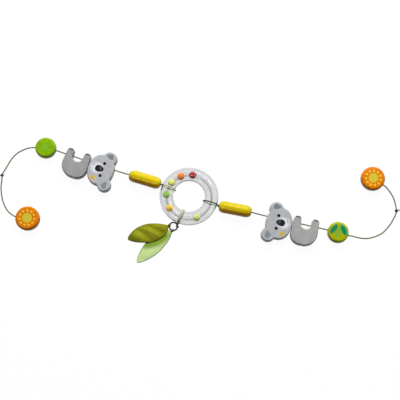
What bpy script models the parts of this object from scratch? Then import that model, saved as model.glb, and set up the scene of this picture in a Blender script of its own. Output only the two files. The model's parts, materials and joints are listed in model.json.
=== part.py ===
"""A pram chain, lying flat on a table as it is shown.

Elastic cord strung with lacquered wood runs to both sides of a clear rattle ring.
From the ring outwards each side carries a long bead, a koala's head and body, a green
disc, a free tail of cord with a knot in it, and an end disc. Two cloth leaves hang
from the ring on a loop and a small ring of cord.

Lengths are in metres, angles in degrees, and +Z is up from the table.
"""

import math

import bmesh
import bpy
from mathutils import Matrix, Vector

# Clearances
TOUCH_GAP = 0.0003
TURN_GAP = 0.0004
BORE_SLACK = 0.0007
CUT_OVERRUN = 0.002

# Elastic cord and its knots
CORD_DIAMETER = 0.0015
CORD_LIFT = 0.0001
KNOT_RADIUS = 0.0016
KNOT_LENGTH = 0.0032
TAIL_KNOT_RADIUS = 0.0019
TAIL_KNOT_LENGTH = 0.0034
TAIL_KNOT_STUB_LENGTH = 0.0024
TAIL_KNOT_STUB_DIAMETER = 0.0013

# Clear rattle ring and its balls
RING_MIDLINE_RADIUS = 0.0262
RING_TUBE_RADIUS = 0.0078
RING_WALL = 0.0012
BALL_DIAMETER = 0.0088
BALL_ANGLES = {
    "orange": 111.4,
    "red": 80.5,
    "pale_lime": 140.6,
    "green": 174.4,
    "amber": 210.6,
    "lime": 290.1,
}

# Long bead
BEAD_LENGTH = 0.0380
BEAD_DIAMETER = 0.0141
BEAD_DOME_LENGTH = 0.0052
BEAD_DOME_HEIGHT = 0.0037
BEAD_MOUTH_RADIUS = 0.0033
BEAD_MOUTH_DEPTH = 0.0034
RING_TO_BEAD = 0.0026
KNOT_IN_MOUTH = 0.0004

# Flat wooden figures and discs
WOOD_THICKNESS = 0.010
FIGURE_EDGE_ROUND = 0.0015
DISC_EDGE_ROUND = 0.0026
LEAF_DISC_DIAMETER = 0.0242
END_DISC_DIAMETER = 0.0278
END_SEAT_RADIUS = 0.0023
END_SEAT_DEPTH = 0.0040

# Koala's head, measured from the point between its eyes; the ear by the cord sits lower
FACE_HALF_WIDTH = 0.0186
FACE_HALF_HEIGHT = 0.0152
FACE_DROP = 0.0010
FACE_SQUARENESS = 2.2
EAR_RADIUS = 0.0081
NEAR_EAR_SIDE = 0.0159
NEAR_EAR_RISE = 0.0049
FAR_EAR_SIDE = 0.0155
FAR_EAR_RISE = 0.0085
NOTCH_SOFTNESS = 26.0
HEAD_BORE_OFFSET = 0.0056

# Koala's body, measured from its cord; its back is fuller towards the head
BODY_HALF_WIDTH = 0.0161
BODY_DEPTH = 0.0247
BACK_ROUND_BY_HEAD = 0.0120
BACK_ROUND_BY_DISC = 0.0150
ARM_REACH = 0.0079
ARM_GAP = 0.0114
ARM_GAP_DEPTH = 0.0054
ARM_GAP_FLARE = 0.0009
ARM_TAPER = 0.0016
ARM_OUTER_ROUND = 0.0037
ARM_INNER_ROUND = 0.0029

# Cord left bare before the head
CORD_BEFORE_HEAD = 0.0158

# Leaf hanger and the small cord ring that both leaves hang on
HANGER_KNOT_RADIUS = 0.0019
HANGER_TO_KNOT = 0.0025
LEAF_RING_RADIUS = 0.0047
LEAF_RING_TURN = 180.0
EYELET_BORE_SLACK = 0.0005
EYELET_WALL = 0.0006
EYELET_LENGTH = 0.0028
EYELET_OVERRUN = 0.0004
NECK_START = 0.0014
NECK_HALF_WIDTH = 0.0010
BLADE_START = 0.0014
BLADE_ROOT = 0.0008
BLADE_TIP = 0.0004

# Cloth leaves: each half has its own width, and is fullest at its own share of the length
LEAF_HEM = 0.0009
LEAF_FULLNESS = 0.66
OLIVE_LENGTH = 0.0509
OLIVE_HALF_WIDTHS = (0.0100, 0.0122)
OLIVE_SKEWS = (1.18, 0.80)
OLIVE_CROWN = 0.0016
OLIVE_FOLD = 0.0008
OLIVE_DROOP = 0.0015
LIGHT_LENGTH = 0.0552
LIGHT_HALF_WIDTHS = (0.0112, 0.0080)
LIGHT_SKEWS = (0.83, 0.98)
LIGHT_CROWN = 0.0003
LEAF_SPACING = 0.0004

# Soft folds across the olive leaf: place along it, slant, width and height of each, and
# how much of their height is left at the leaf's edges
FOLD_SHARES = [
    (0.20, 0.22, 0.07, -0.8),
    (0.36, -0.25, 0.08, 0.7),
    (0.52, 0.30, 0.08, -1.0),
    (0.74, 0.28, 0.07, 0.8),
]
FOLD_EDGE_SHARE = 0.35

# Shares of the olive leaf's length over which its root lifts, its crown rises and fades,
# and its tip droops
ROOT_LIFT_SHARE = 0.07
CROWN_RISE_SHARE = 0.15
CROWN_FADE_SHARE = 0.20
TIP_DROOP_SHARE = 0.28

# Angles round the ring, seen from above, and headings of what is strung there
HANGER_ANGLE = 248.4
OLIVE_STEM_ANGLE = 163.0
OLIVE_HEADING = 198.3
LIGHT_STEM_ANGLE = 260.0
LIGHT_HEADING = 222.6

# Where the ring's middle stands from the middle of the whole toy
RING_PLACE = (-0.0140, 0.0024)

# Fineness of the round shapes
RING_STEPS = 32
TUBE_ARC_STEPS = 6
CAVITY_ARC_STEPS = 6
BALL_SEGMENTS = 12
BALL_RINGS = 6
TURNED_STEPS = 20
DOME_STEPS = 3
BORE_STEPS = 12
DISC_POINTS = 34
HEAD_POINTS = 54
OUTLINE_STEP = 0.0024
LOOP_POINTS = 18
LEAF_ROWS = 14
LEAF_COLUMNS = 6
EDGE_SEGMENTS = 2

# Free route of each tail, in the ring's own frame, from the green disc to the end disc.
# A height of zero means that the cord lies on the table.
LEFT_TAIL_ROUTE = [
    (-0.1913, 0.0596, 0.0026),
    (-0.2004, 0.0560, 0),
    (-0.2080, 0.0490, 0),
    (-0.2136, 0.0395, 0),
    (-0.2187, 0.0290, 0),
    (-0.2195, 0.0219, 0),
    (-0.2199, 0.0111, 0),
    (-0.2169, -0.0040, 0),
    (-0.2104, -0.0157, 0.0022),
    (-0.20004, -0.02315, 0.0050),
]
RIGHT_TAIL_ROUTE = [
    (0.1880, -0.0457, 0.0040),
    (0.1971, -0.0473, 0.0012),
    (0.2058, -0.0478, 0),
    (0.2147, -0.0458, 0),
    (0.2238, -0.0413, 0),
    (0.2313, -0.0337, 0),
    (0.2369, -0.0254, 0),
    (0.2409, -0.0160, 0),
    (0.2396, -0.0037, 0),
    (0.2364, 0.0045, 0),
    (0.2316, 0.0112, 0.0022),
    (0.2262, 0.0148, 0.0050),
]

# The two sides: mirror is 1 where the piece is made as drawn and -1 where it is turned over
SIDES = {
    "left": {
        "mirror": -1,
        "ring_angle": 155.4,
        "bead_heading": 162.9,
        "chain_heading": 161.0,
        "cord_before_disc": 0.0119,
        "disc_heading": 172.0,
        "disc_offset": 0.0012,
        "end_heading": -8.7,
        "tail_route": LEFT_TAIL_ROUTE,
        "knot_point": 4,
    },
    "right": {
        "mirror": 1,
        "ring_angle": -17.4,
        "bead_heading": -11.2,
        "chain_heading": -13.0,
        "cord_before_disc": 0.0097,
        "disc_heading": -14.9,
        "disc_offset": 0,
        "end_heading": 148.5,
        "tail_route": RIGHT_TAIL_ROUTE,
        "knot_point": 7,
    },
}

# Heights and radii that follow from the sizes above
CORD_RADIUS = CORD_DIAMETER / 2
CORD_REST = CORD_RADIUS + CORD_LIFT
NEAR_EAR = (NEAR_EAR_SIDE, NEAR_EAR_RISE)
FAR_EAR = (FAR_EAR_SIDE, FAR_EAR_RISE)
BORE_RADIUS = CORD_RADIUS + BORE_SLACK
RING_HEIGHT = CORD_DIAMETER + TOUCH_GAP + RING_TUBE_RADIUS
CAVITY_RADIUS = RING_TUBE_RADIUS - RING_WALL
LOOP_RADIUS = RING_TUBE_RADIUS + TOUCH_GAP + CORD_RADIUS
BALL_HEIGHT = RING_HEIGHT - CAVITY_RADIUS + BALL_DIAMETER / 2 + TOUCH_GAP
BEAD_RADIUS = BEAD_DIAMETER / 2
FLAT_HEIGHT = WOOD_THICKNESS / 2
EYELET_BORE = CORD_RADIUS + EYELET_BORE_SLACK
EYELET_RADIUS = EYELET_BORE + EYELET_WALL
LEAF_RING_HEIGHT = EYELET_RADIUS + TOUCH_GAP


def heading(angle):
    """Unit vector in the table's plane that points along an angle."""
    return Vector((math.cos(math.radians(angle)), math.sin(math.radians(angle)), 0))


def lifted(point, height):
    """The point at another height over the table."""
    return Vector((point[0], point[1], height))


def clear_scene():
    for thing in list(bpy.data.objects):
        bpy.data.objects.remove(thing, do_unlink=True)


def lacquer(name, colour, roughness, alpha=1.0):
    """A Principled material of one colour."""
    made = bpy.data.materials.new(name)
    made.use_nodes = True
    shader = made.node_tree.nodes["Principled BSDF"]
    shader.inputs["Base Color"].default_value = (*colour, 1.0)
    shader.inputs["Roughness"].default_value = roughness
    shader.inputs["Metallic"].default_value = 0.0
    shader.inputs["Alpha"].default_value = alpha
    made.diffuse_color = (*colour, alpha)
    return made


def pivot(name, place, parent=None):
    """An empty that stands on a joint's axis."""
    empty = bpy.data.objects.new(name, None)
    bpy.context.collection.objects.link(empty)
    empty.location = place
    empty.parent = parent
    return empty


def add_object(name, data, material, parent, place=(0, 0, 0), turn=0.0):
    """Link a piece, turned about Z by an angle, under its parent."""
    made = bpy.data.objects.new(name, data)
    bpy.context.collection.objects.link(made)
    made.location = place
    made.rotation_euler = (0, 0, math.radians(turn))
    made.parent = parent
    if material:
        data.materials.append(material)
    return made


def finish_mesh(name, shape):
    """Close a bmesh's seams, point its faces out and shade it smooth over soft edges."""
    bmesh.ops.remove_doubles(shape, verts=shape.verts, dist=CORD_LIFT / 100)
    bmesh.ops.recalc_face_normals(shape, faces=shape.faces)
    mesh = bpy.data.meshes.new(name)
    shape.to_mesh(mesh)
    shape.free()
    mesh.shade_smooth()
    mesh.set_sharp_from_angle(angle=math.radians(50))
    return mesh


def turned_mesh(name, profile, axis, steps):
    """Spin a closed profile, given in the plane of X and Z, once round an axis."""
    shape = bmesh.new()
    corners = [shape.verts.new(point) for point in profile]
    edges = [shape.edges.new(pair) for pair in zip(corners, corners[1:] + corners[:1])]
    bmesh.ops.spin(
        shape,
        geom=corners + edges,
        cent=(0, 0, 0),
        axis=axis,
        angle=math.tau,
        steps=steps,
        use_merge=True,
    )
    return finish_mesh(name, shape)


def plate_mesh(name, outline, thickness):
    """A flat plate of the outline's shape, centred on Z = 0."""
    shape = bmesh.new()
    corners = [shape.verts.new((x, y, -thickness / 2)) for x, y in outline]
    face = shape.faces.new(corners)
    raised = bmesh.ops.extrude_face_region(shape, geom=[face])
    top = [item for item in raised["geom"] if isinstance(item, bmesh.types.BMVert)]
    bmesh.ops.translate(shape, verts=top, vec=(0, 0, thickness))
    return finish_mesh(name, shape)


def ball_mesh(name, radius, length, segments, rings):
    """A ball, or an egg that is longer along X."""
    shape = bmesh.new()
    bmesh.ops.create_uvsphere(shape, u_segments=segments, v_segments=rings, radius=radius)
    bmesh.ops.scale(shape, verts=shape.verts, vec=(length / (2 * radius), 1, 1))
    return finish_mesh(name, shape)


def round_edges(piece, width):
    """Round a plate's top and bottom edges."""
    rounding = piece.modifiers.new("edge_rounding", "BEVEL")
    rounding.width = width
    rounding.segments = EDGE_SEGMENTS
    rounding.limit_method = "ANGLE"
    rounding.angle_limit = math.radians(60)


def apply_tool(piece, tool, operation):
    """Join a hidden tool shape to a piece, or cut it away."""
    tool.hide_render = True
    tool.display_type = "WIRE"
    change = piece.modifiers.new(tool.name, "BOOLEAN")
    change.operation = operation
    change.object = tool
    change.solver = "EXACT"


def bore_profile(start, end, seat_depth=0.0):
    """Half section of a bore along X, with a wider seat at its far end."""
    profile = [(start - CUT_OVERRUN, 0, 0), (start - CUT_OVERRUN, 0, BORE_RADIUS)]
    if seat_depth:
        profile.append((end - seat_depth, 0, BORE_RADIUS))
        profile.append((end - seat_depth, 0, END_SEAT_RADIUS))
        profile.append((end + CUT_OVERRUN, 0, END_SEAT_RADIUS))
    else:
        profile.append((end + CUT_OVERRUN, 0, BORE_RADIUS))
    profile.append((end + CUT_OVERRUN, 0, 0))
    return profile


def drill(piece, start, end, seat_depth=0.0):
    """Cut the cord's bore through a wooden piece, along its own X axis."""
    profile = bore_profile(start, end, seat_depth)
    mesh = turned_mesh(piece.name + "_bore", profile, (1, 0, 0), BORE_STEPS)
    apply_tool(piece, add_object(piece.name + "_bore", mesh, None, piece), "DIFFERENCE")


def arc(centre, radius, start, end, steps):
    """Points on an arc in the plane, both ends included."""
    angles = [start + (end - start) * step / steps for step in range(steps + 1)]
    return [
        (
            centre[0] + radius * math.cos(math.radians(angle)),
            centre[1] + radius * math.sin(math.radians(angle)),
        )
        for angle in angles
    ]


def rounded_outline(corners):
    """An outline through corners (x, y, rounding radius), with each corner an arc."""
    outline = []
    for index, (x, y, radius) in enumerate(corners):
        here = Vector((x, y))
        before = (Vector(corners[index - 1][:2]) - here).normalized()
        after = (Vector(corners[(index + 1) % len(corners)][:2]) - here).normalized()
        half = before.angle(after) / 2
        middle = here + (before + after).normalized() * radius / math.sin(half)
        first = here + before * radius / math.tan(half) - middle
        last = here + after * radius / math.tan(half) - middle
        start = math.degrees(math.atan2(first.y, first.x))
        sweep = (math.degrees(math.atan2(last.y, last.x)) - start + 180) % 360 - 180
        steps = max(2, round(abs(math.radians(sweep)) * radius / OUTLINE_STEP))
        outline += arc(middle, radius, start, start + sweep, steps)
    return [
        point
        for point, following in zip(outline, outline[1:] + outline[:1])
        if math.dist(point, following) > OUTLINE_STEP / 8
    ]


def evenly_spaced(outline, count):
    """The same closed outline with its points an even distance apart."""
    loop = [Vector(point) for point in outline]
    loop.append(loop[0])
    reach = [0.0]
    for before, after in zip(loop, loop[1:]):
        reach.append(reach[-1] + (after - before).length)
    spaced = []
    index = 0
    for step in range(count):
        wanted = reach[-1] * step / count
        while reach[index + 1] < wanted:
            index += 1
        share = (wanted - reach[index]) / (reach[index + 1] - reach[index])
        spaced.append(tuple(loop[index].lerp(loop[index + 1], share)))
    return spaced


def smooth_route(points, step):
    """Points an even step apart on a Catmull-Rom curve through the route's points."""
    route = [Vector(point) for point in points]
    route = [2 * route[0] - route[1], *route, 2 * route[-1] - route[-2]]
    fine = [route[1]]
    fineness = 24
    for a, b, c, d in zip(route, route[1:], route[2:], route[3:]):
        for part in range(1, fineness + 1):
            t = part / fineness
            bend = 2 * b + (c - a) * t + (2 * a - 5 * b + 4 * c - d) * t * t
            fine.append((bend + (3 * b - a - 3 * c + d) * t * t * t) / 2)
    reach = [0.0]
    for before, after in zip(fine, fine[1:]):
        reach.append(reach[-1] + (after - before).length)
    count = max(2, round(reach[-1] / step))
    spaced = []
    index = 0
    for part in range(count + 1):
        wanted = reach[-1] * part / count
        while index < len(fine) - 2 and reach[index + 1] < wanted:
            index += 1
        share = (wanted - reach[index]) / (reach[index + 1] - reach[index])
        spaced.append(fine[index].lerp(fine[index + 1], min(1.0, share)))
    return spaced


def cord_piece(name, points, material, parent, closed=False):
    """A round cord along the points, as a curve with filled ends."""
    curve = bpy.data.curves.new(name, "CURVE")
    curve.dimensions = "3D"
    curve.bevel_depth = CORD_RADIUS
    curve.bevel_resolution = 2
    curve.use_fill_caps = not closed
    spline = curve.splines.new("POLY")
    spline.points.add(len(points) - 1)
    for knot, point in zip(spline.points, points):
        knot.co = (*point, 1.0)
    spline.use_cyclic_u = closed
    return add_object(name, curve, material, parent)


def ring_shell(name, upper, material, parent):
    """Half of the hollow ring: a C-shaped section, spun round the ring's axis."""
    outer = arc((0, 0), RING_TUBE_RADIUS, 0, 180, TUBE_ARC_STEPS)
    inner = arc((0, 0), CAVITY_RADIUS, 180, 0, CAVITY_ARC_STEPS)
    side = 1 if upper else -1
    seam = TOUCH_GAP / 2
    profile = [
        (RING_MIDLINE_RADIUS + x, 0, RING_HEIGHT + side * max(y, seam))
        for x, y in outer + inner
    ]
    mesh = turned_mesh(name, profile, (0, 0, 1), RING_STEPS)
    return add_object(name, mesh, material, parent)


def loop_points(apex_radius, apex_height, standoff, angle):
    """A taut loop round the ring's tube, in the upright plane through the ring's middle.

    From a knot at the apex it runs straight until it touches a circle that the tube fills
    with a gap, goes round that circle, and runs straight back. It stops short of the knot.
    """
    across = apex_radius - RING_MIDLINE_RADIUS
    rise = apex_height - RING_HEIGHT
    reach = math.hypot(across, rise)
    towards = math.degrees(math.atan2(rise, across))
    half = math.degrees(math.acos(LOOP_RADIUS / reach))
    straight = math.sqrt(reach**2 - LOOP_RADIUS**2)
    share = standoff / straight
    turn = arc((0, 0), LOOP_RADIUS, towards + half, towards - half + 360, LOOP_POINTS)
    first = [across + (turn[0][0] - across) * share, rise + (turn[0][1] - rise) * share]
    last = [across + (turn[-1][0] - across) * share, rise + (turn[-1][1] - rise) * share]
    outward = heading(angle)
    return [
        lifted(outward * (RING_MIDLINE_RADIUS + x), RING_HEIGHT + y)
        for x, y in [first, *turn, last]
    ]


def bead_profile():
    """Half section of the long bead along X: a coned mouth, two domed ends and a bore."""
    flat = BEAD_RADIUS - BEAD_DOME_HEIGHT
    dome = [
        (share_x * BEAD_DOME_LENGTH, flat + share_r * BEAD_DOME_HEIGHT)
        for share_x, share_r in (
            (1 - math.cos(turn), math.sin(turn))
            for turn in (math.pi / 2 * step / DOME_STEPS for step in range(DOME_STEPS + 1))
        )
    ]
    far_dome = [(BEAD_LENGTH - x, r) for x, r in reversed(dome)]
    inside = [(BEAD_LENGTH, BORE_RADIUS), (BEAD_MOUTH_DEPTH, BORE_RADIUS), (0, BEAD_MOUTH_RADIUS)]
    return [(x, 0, r) for x, r in dome + far_dome + inside]


def head_outline(mirror):
    """Outline of the koala's head, its crown towards -X, with its bore on the X axis.

    In the head's own upright frame the radius at each angle is the larger of two reaches
    from the point between the eyes: the squarish oval of the face, and the circle of an
    ear. A high power mean blends the two, which softens the notch between them.
    """
    outline = []
    for step in range(720):
        angle = math.tau * step / 720
        across, up = math.cos(angle), math.sin(angle)
        low, high = 0.0, FACE_HALF_WIDTH + FACE_HALF_HEIGHT
        for _ in range(40):
            reach = (low + high) / 2
            wide = abs(across * reach / FACE_HALF_WIDTH) ** FACE_SQUARENESS
            tall = abs((up * reach + FACE_DROP) / FACE_HALF_HEIGHT) ** FACE_SQUARENESS
            low, high = (reach, high) if wide + tall < 1 else (low, reach)
        face = (low + high) / 2
        ear_side, ear_rise = NEAR_EAR if across > 0 else FAR_EAR
        towards = abs(across) * ear_side + up * ear_rise
        spare = EAR_RADIUS**2 - (ear_side**2 + ear_rise**2 - towards**2)
        ear = towards + math.sqrt(spare) if spare > 0 and towards > 0 else face / 2
        reach = face * (1 + (ear / face) ** NOTCH_SOFTNESS) ** (1 / NOTCH_SOFTNESS)
        outline.append((-up * reach, mirror * (across * reach - HEAD_BORE_OFFSET)))
    return evenly_spaced(outline, HEAD_POINTS)


def body_outline(mirror):
    """Outline of the koala's body: a deep U whose two arms cross the cord on the X axis."""
    gap = ARM_GAP / 2
    tip = ARM_REACH
    corners = [
        (-BODY_HALF_WIDTH + ARM_TAPER, tip, ARM_OUTER_ROUND),
        (-BODY_HALF_WIDTH, -BODY_DEPTH, BACK_ROUND_BY_HEAD),
        (BODY_HALF_WIDTH, -BODY_DEPTH, BACK_ROUND_BY_DISC),
        (BODY_HALF_WIDTH - ARM_TAPER, tip, ARM_OUTER_ROUND),
        (gap + ARM_GAP_FLARE, tip, ARM_INNER_ROUND),
        (gap, -ARM_GAP_DEPTH, gap),
        (-gap, -ARM_GAP_DEPTH, gap),
        (-gap - ARM_GAP_FLARE, tip, ARM_INNER_ROUND),
    ]
    return [(x, mirror * y) for x, y in rounded_outline(corners)]


def disc_outline(diameter, offset):
    """A circle with its middle beside the bore by the offset."""
    start = 180 / DISC_POINTS
    return arc((0, offset), diameter / 2, start, start + 360, DISC_POINTS)[:-1]


def wooden_plate(name, outline, edge, material, parent, place, turn):
    """A flat wooden piece with rounded edges."""
    mesh = plate_mesh(name, outline, WOOD_THICKNESS)
    piece = add_object(name, mesh, material, parent, lifted(place, FLAT_HEIGHT), turn)
    round_edges(piece, edge)
    return piece


def tail_knot(name, material, parent, place, turn):
    """A knot round the tail, as a barrel that the cord runs through, and its cut end."""
    half = TAIL_KNOT_LENGTH / 2
    hole = CORD_RADIUS + TOUCH_GAP
    swell = TAIL_KNOT_RADIUS - hole
    steps = 2 * DOME_STEPS
    back = [
        (half * math.cos(turn_by), 0, hole + TOUCH_GAP + (swell - TOUCH_GAP) * math.sin(turn_by))
        for turn_by in (math.pi * step / steps for step in range(steps + 1))
    ]
    profile = [(half, 0, hole), *back, (-half, 0, hole)]
    mesh = turned_mesh(name, profile, (1, 0, 0), BORE_STEPS)
    knot = add_object(name, mesh, material, parent, place, turn)
    shape = bmesh.new()
    bmesh.ops.create_cone(
        shape,
        cap_ends=True,
        segments=BORE_STEPS,
        radius1=TAIL_KNOT_STUB_DIAMETER / 2,
        radius2=TAIL_KNOT_STUB_DIAMETER / 2,
        depth=TAIL_KNOT_STUB_LENGTH,
    )
    lean = Matrix.Rotation(math.radians(90), 4, "X")
    middle = TAIL_KNOT_RADIUS - TOUCH_GAP + TAIL_KNOT_STUB_LENGTH / 2
    bmesh.ops.transform(shape, matrix=Matrix.Translation((0, -middle, 0)) @ lean, verts=shape.verts)
    stub = add_object(name + "_stub", finish_mesh(name + "_stub", shape), None, knot)
    apply_tool(knot, stub, "UNION")
    return knot


def leaf_half_width(share, half_width, skew):
    """Half width of a leaf at a share of its length: a power of a sine, fuller at one end."""
    return half_width * math.sin(math.pi * share**skew) ** LEAF_FULLNESS


def leaf_fold(share, side):
    """Height of the soft folds over the olive leaf: low ridges that cross it aslant."""
    return sum(
        height * math.exp(-(((share - place - slant * side) / width) ** 2))
        for place, slant, width, height in FOLD_SHARES
    )


def leaf_mesh(name, length, half_widths, skews, under, over):
    """A closed leaf along +X from its eyelet.

    under and over give the height of its two faces at a share of the length and a share of
    the half width, from -1 to 1. Straight walls as high as the hem join them at the edge.
    """
    shape = bmesh.new()
    faces = {}
    first, last = BLADE_START + BLADE_ROOT, length - BLADE_TIP
    stations = [first + (last - first) * row / (LEAF_ROWS - 1) for row in range(LEAF_ROWS)]
    stations.insert(0, NECK_START)
    for layer, height in (("under", under), ("over", over)):
        grid = []
        for row, x in enumerate(stations):
            share = (x - BLADE_START) / (length - BLADE_START)
            line = []
            for column in range(LEAF_COLUMNS + 1):
                side = 2 * column / LEAF_COLUMNS - 1
                half = 1 if side > 0 else 0
                width = NECK_HALF_WIDTH
                if row:
                    width = leaf_half_width(share, half_widths[half], skews[half])
                line.append(shape.verts.new((x, side * width, height(share, side))))
            grid.append(line)
        faces[layer] = grid
    low, high = faces["under"], faces["over"]
    for row in range(LEAF_ROWS):
        for column in range(LEAF_COLUMNS):
            for grid in (low, high):
                near, far = grid[row], grid[row + 1]
                shape.faces.new((near[column], near[column + 1], far[column + 1], far[column]))
    rim = [(row, 0) for row in range(LEAF_ROWS)]
    rim += [(LEAF_ROWS, column) for column in range(LEAF_COLUMNS)]
    rim += [(row, LEAF_COLUMNS) for row in range(LEAF_ROWS, 0, -1)]
    rim += [(0, column) for column in range(LEAF_COLUMNS, 0, -1)]
    for (row, column), (next_row, next_column) in zip(rim, rim[1:] + rim[:1]):
        shape.faces.new(
            (
                low[row][column],
                low[next_row][next_column],
                high[next_row][next_column],
                high[row][column],
            )
        )
    return finish_mesh(name, shape)


def smooth_step(value):
    """Rise smoothly from 0 to 1 as the value goes from 0 to 1."""
    value = min(1.0, max(0.0, value))
    return value * value * (3 - 2 * value)


def olive_under(share, side):
    """Underside of the olive leaf, from its eyelet's axis: over the light leaf, then down."""
    rest = LIGHT_TOP + LEAF_SPACING - LEAF_RING_HEIGHT
    lift = -LEAF_HEM / 2 + (rest + LEAF_HEM / 2) * smooth_step(share / ROOT_LIFT_SHARE)
    return lift - OLIVE_DROOP * smooth_step(1 - (1 - share) / TIP_DROOP_SHARE)


def olive_over(share, side):
    """Upper side of the olive leaf: crowned, with folds that fade towards its edges."""
    inner = 1 - side * side
    within = smooth_step(share / CROWN_RISE_SHARE) * smooth_step((1 - share) / CROWN_FADE_SHARE)
    crown = OLIVE_CROWN * inner
    folds = OLIVE_FOLD * leaf_fold(share, side) * (FOLD_EDGE_SHARE + (1 - FOLD_EDGE_SHARE) * inner)
    return olive_under(share, side) + LEAF_HEM + within * (crown + folds)


def light_under(share, side):
    """Underside of the light leaf, from its eyelet's axis: flat on the table."""
    return -LEAF_RING_HEIGHT + CORD_LIFT


def light_over(share, side):
    """Upper side of the light leaf, a little fuller along its middle."""
    return light_under(share, side) + LEAF_HEM + LIGHT_CROWN * (1 - side * side)


LIGHT_TOP = CORD_LIFT + LEAF_HEM + LIGHT_CROWN


def cloth_leaf(name, mesh, material, parent, place, leaf_heading, stem_angle):
    """A leaf with a sewn eyelet that runs round the small cord ring."""
    leaf = add_object(name, mesh, material, parent, place, leaf_heading)
    along = stem_angle + 90 - leaf_heading
    for kind, radius, length, operation in (
        ("eyelet", EYELET_RADIUS, EYELET_LENGTH, "UNION"),
        ("hole", EYELET_BORE, EYELET_LENGTH + 2 * EYELET_OVERRUN, "DIFFERENCE"),
    ):
        profile = [(-length / 2, 0, 0), (-length / 2, 0, radius), (length / 2, 0, radius), (length / 2, 0, 0)]
        tool_mesh = turned_mesh(name + "_" + kind, profile, (1, 0, 0), BORE_STEPS)
        tool = add_object(name + "_" + kind, tool_mesh, None, leaf, turn=along)
        apply_tool(leaf, tool, operation)
    return leaf


def build_ring(ring):
    """The clear ring, its two welded halves and the balls between them."""
    clear = lacquer("clear_plastic", (0.86, 0.88, 0.90), 0.08, 0.35)
    ring_shell("ring_upper_shell", True, clear, ring)
    ring_shell("ring_lower_shell", False, clear, ring)
    colours = {
        "orange": (0.90, 0.28, 0.04),
        "red": (0.66, 0.03, 0.04),
        "pale_lime": (0.60, 0.76, 0.22),
        "green": (0.16, 0.46, 0.06),
        "amber": (0.92, 0.48, 0.06),
        "lime": (0.66, 0.80, 0.28),
    }
    for colour_name, angle in BALL_ANGLES.items():
        name = "rattle_ball_" + colour_name
        mesh = ball_mesh(name, BALL_DIAMETER / 2, BALL_DIAMETER, BALL_SEGMENTS, BALL_RINGS)
        place = lifted(heading(angle) * RING_MIDLINE_RADIUS, BALL_HEIGHT)
        roll = pivot(name + "_roll", (0, 0, 0), ring)
        add_object(name, mesh, lacquer(name, colours[colour_name], 0.3), roll, place)


def strand_places(side):
    """Where everything on one side stands: bores' starts and ends, from the ring outwards."""
    places = {}
    ring_end = RING_MIDLINE_RADIUS + RING_TUBE_RADIUS + RING_TO_BEAD
    places["bead"] = lifted(heading(side["ring_angle"]) * ring_end, BEAD_RADIUS)
    places["bead_end"] = places["bead"] + heading(side["bead_heading"]) * BEAD_LENGTH
    chain = heading(side["chain_heading"])
    ear_reach = FAR_EAR_RISE + EAR_RADIUS
    chin_reach = FACE_HALF_HEIGHT + FACE_DROP
    taper_at_chin = ARM_TAPER * (BODY_DEPTH - HEAD_BORE_OFFSET) / (BODY_DEPTH + ARM_REACH)
    body_reach = BODY_HALF_WIDTH - taper_at_chin
    start = lifted(places["bead_end"], FLAT_HEIGHT)
    places["head"] = start + chain * (CORD_BEFORE_HEAD + ear_reach)
    places["body"] = places["head"] + chain * (chin_reach + TURN_GAP + body_reach)
    places["body_end"] = places["body"] + chain * BODY_HALF_WIDTH
    places["disc_start"] = places["body_end"] + chain * side["cord_before_disc"]
    across = heading(side["disc_heading"]) * LEAF_DISC_DIAMETER
    places["disc"] = places["disc_start"] + across / 2
    places["disc_end"] = places["disc_start"] + across
    end_mouth = Vector(side["tail_route"][-1])
    inward = heading(side["end_heading"])
    places["end_mouth"] = end_mouth
    places["end_disc"] = end_mouth + inward * END_DISC_DIAMETER / 2
    places["end_knot"] = end_mouth + inward * (END_DISC_DIAMETER - END_SEAT_DEPTH + KNOT_LENGTH / 2 + TOUCH_GAP)
    return places


def strung_route(side, places, knot_place):
    """Route of the strung cord, straight through each bore, from the loop knot outwards."""
    bead = heading(side["bead_heading"])
    chain = heading(side["chain_heading"])
    disc = heading(side["disc_heading"])
    head_half = FACE_HALF_HEIGHT
    return [
        knot_place + bead * (KNOT_LENGTH / 2 + TOUCH_GAP),
        places["bead"] + bead * BEAD_LENGTH / 2,
        places["bead_end"],
        places["head"] - chain * (head_half + CORD_DIAMETER),
        places["head"],
        places["head"] + chain * head_half,
        places["body"],
        places["body_end"],
        places["disc_start"],
        places["disc"],
        places["disc"] + disc * LEAF_DISC_DIAMETER / 2,
    ]


def tail_points(side, places):
    """Route of the free tail, from the green disc's mouth to the end disc's knot."""
    out = heading(side["disc_heading"])
    inward = heading(side["end_heading"])
    start = places["disc_end"] + out * TOUCH_GAP
    stop = places["end_knot"] - inward * (KNOT_LENGTH / 2 + TOUCH_GAP)
    free = [Vector(point) for point in side["tail_route"]]
    return [start, start + out * CORD_DIAMETER, *free, places["end_disc"], stop]


def knotted_span(points, wanted):
    """The two neighbouring points whose middle is nearest to the wanted place."""
    return min(zip(points, points[1:]), key=lambda pair: ((pair[0] + pair[1]) / 2 - wanted).length)


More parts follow.
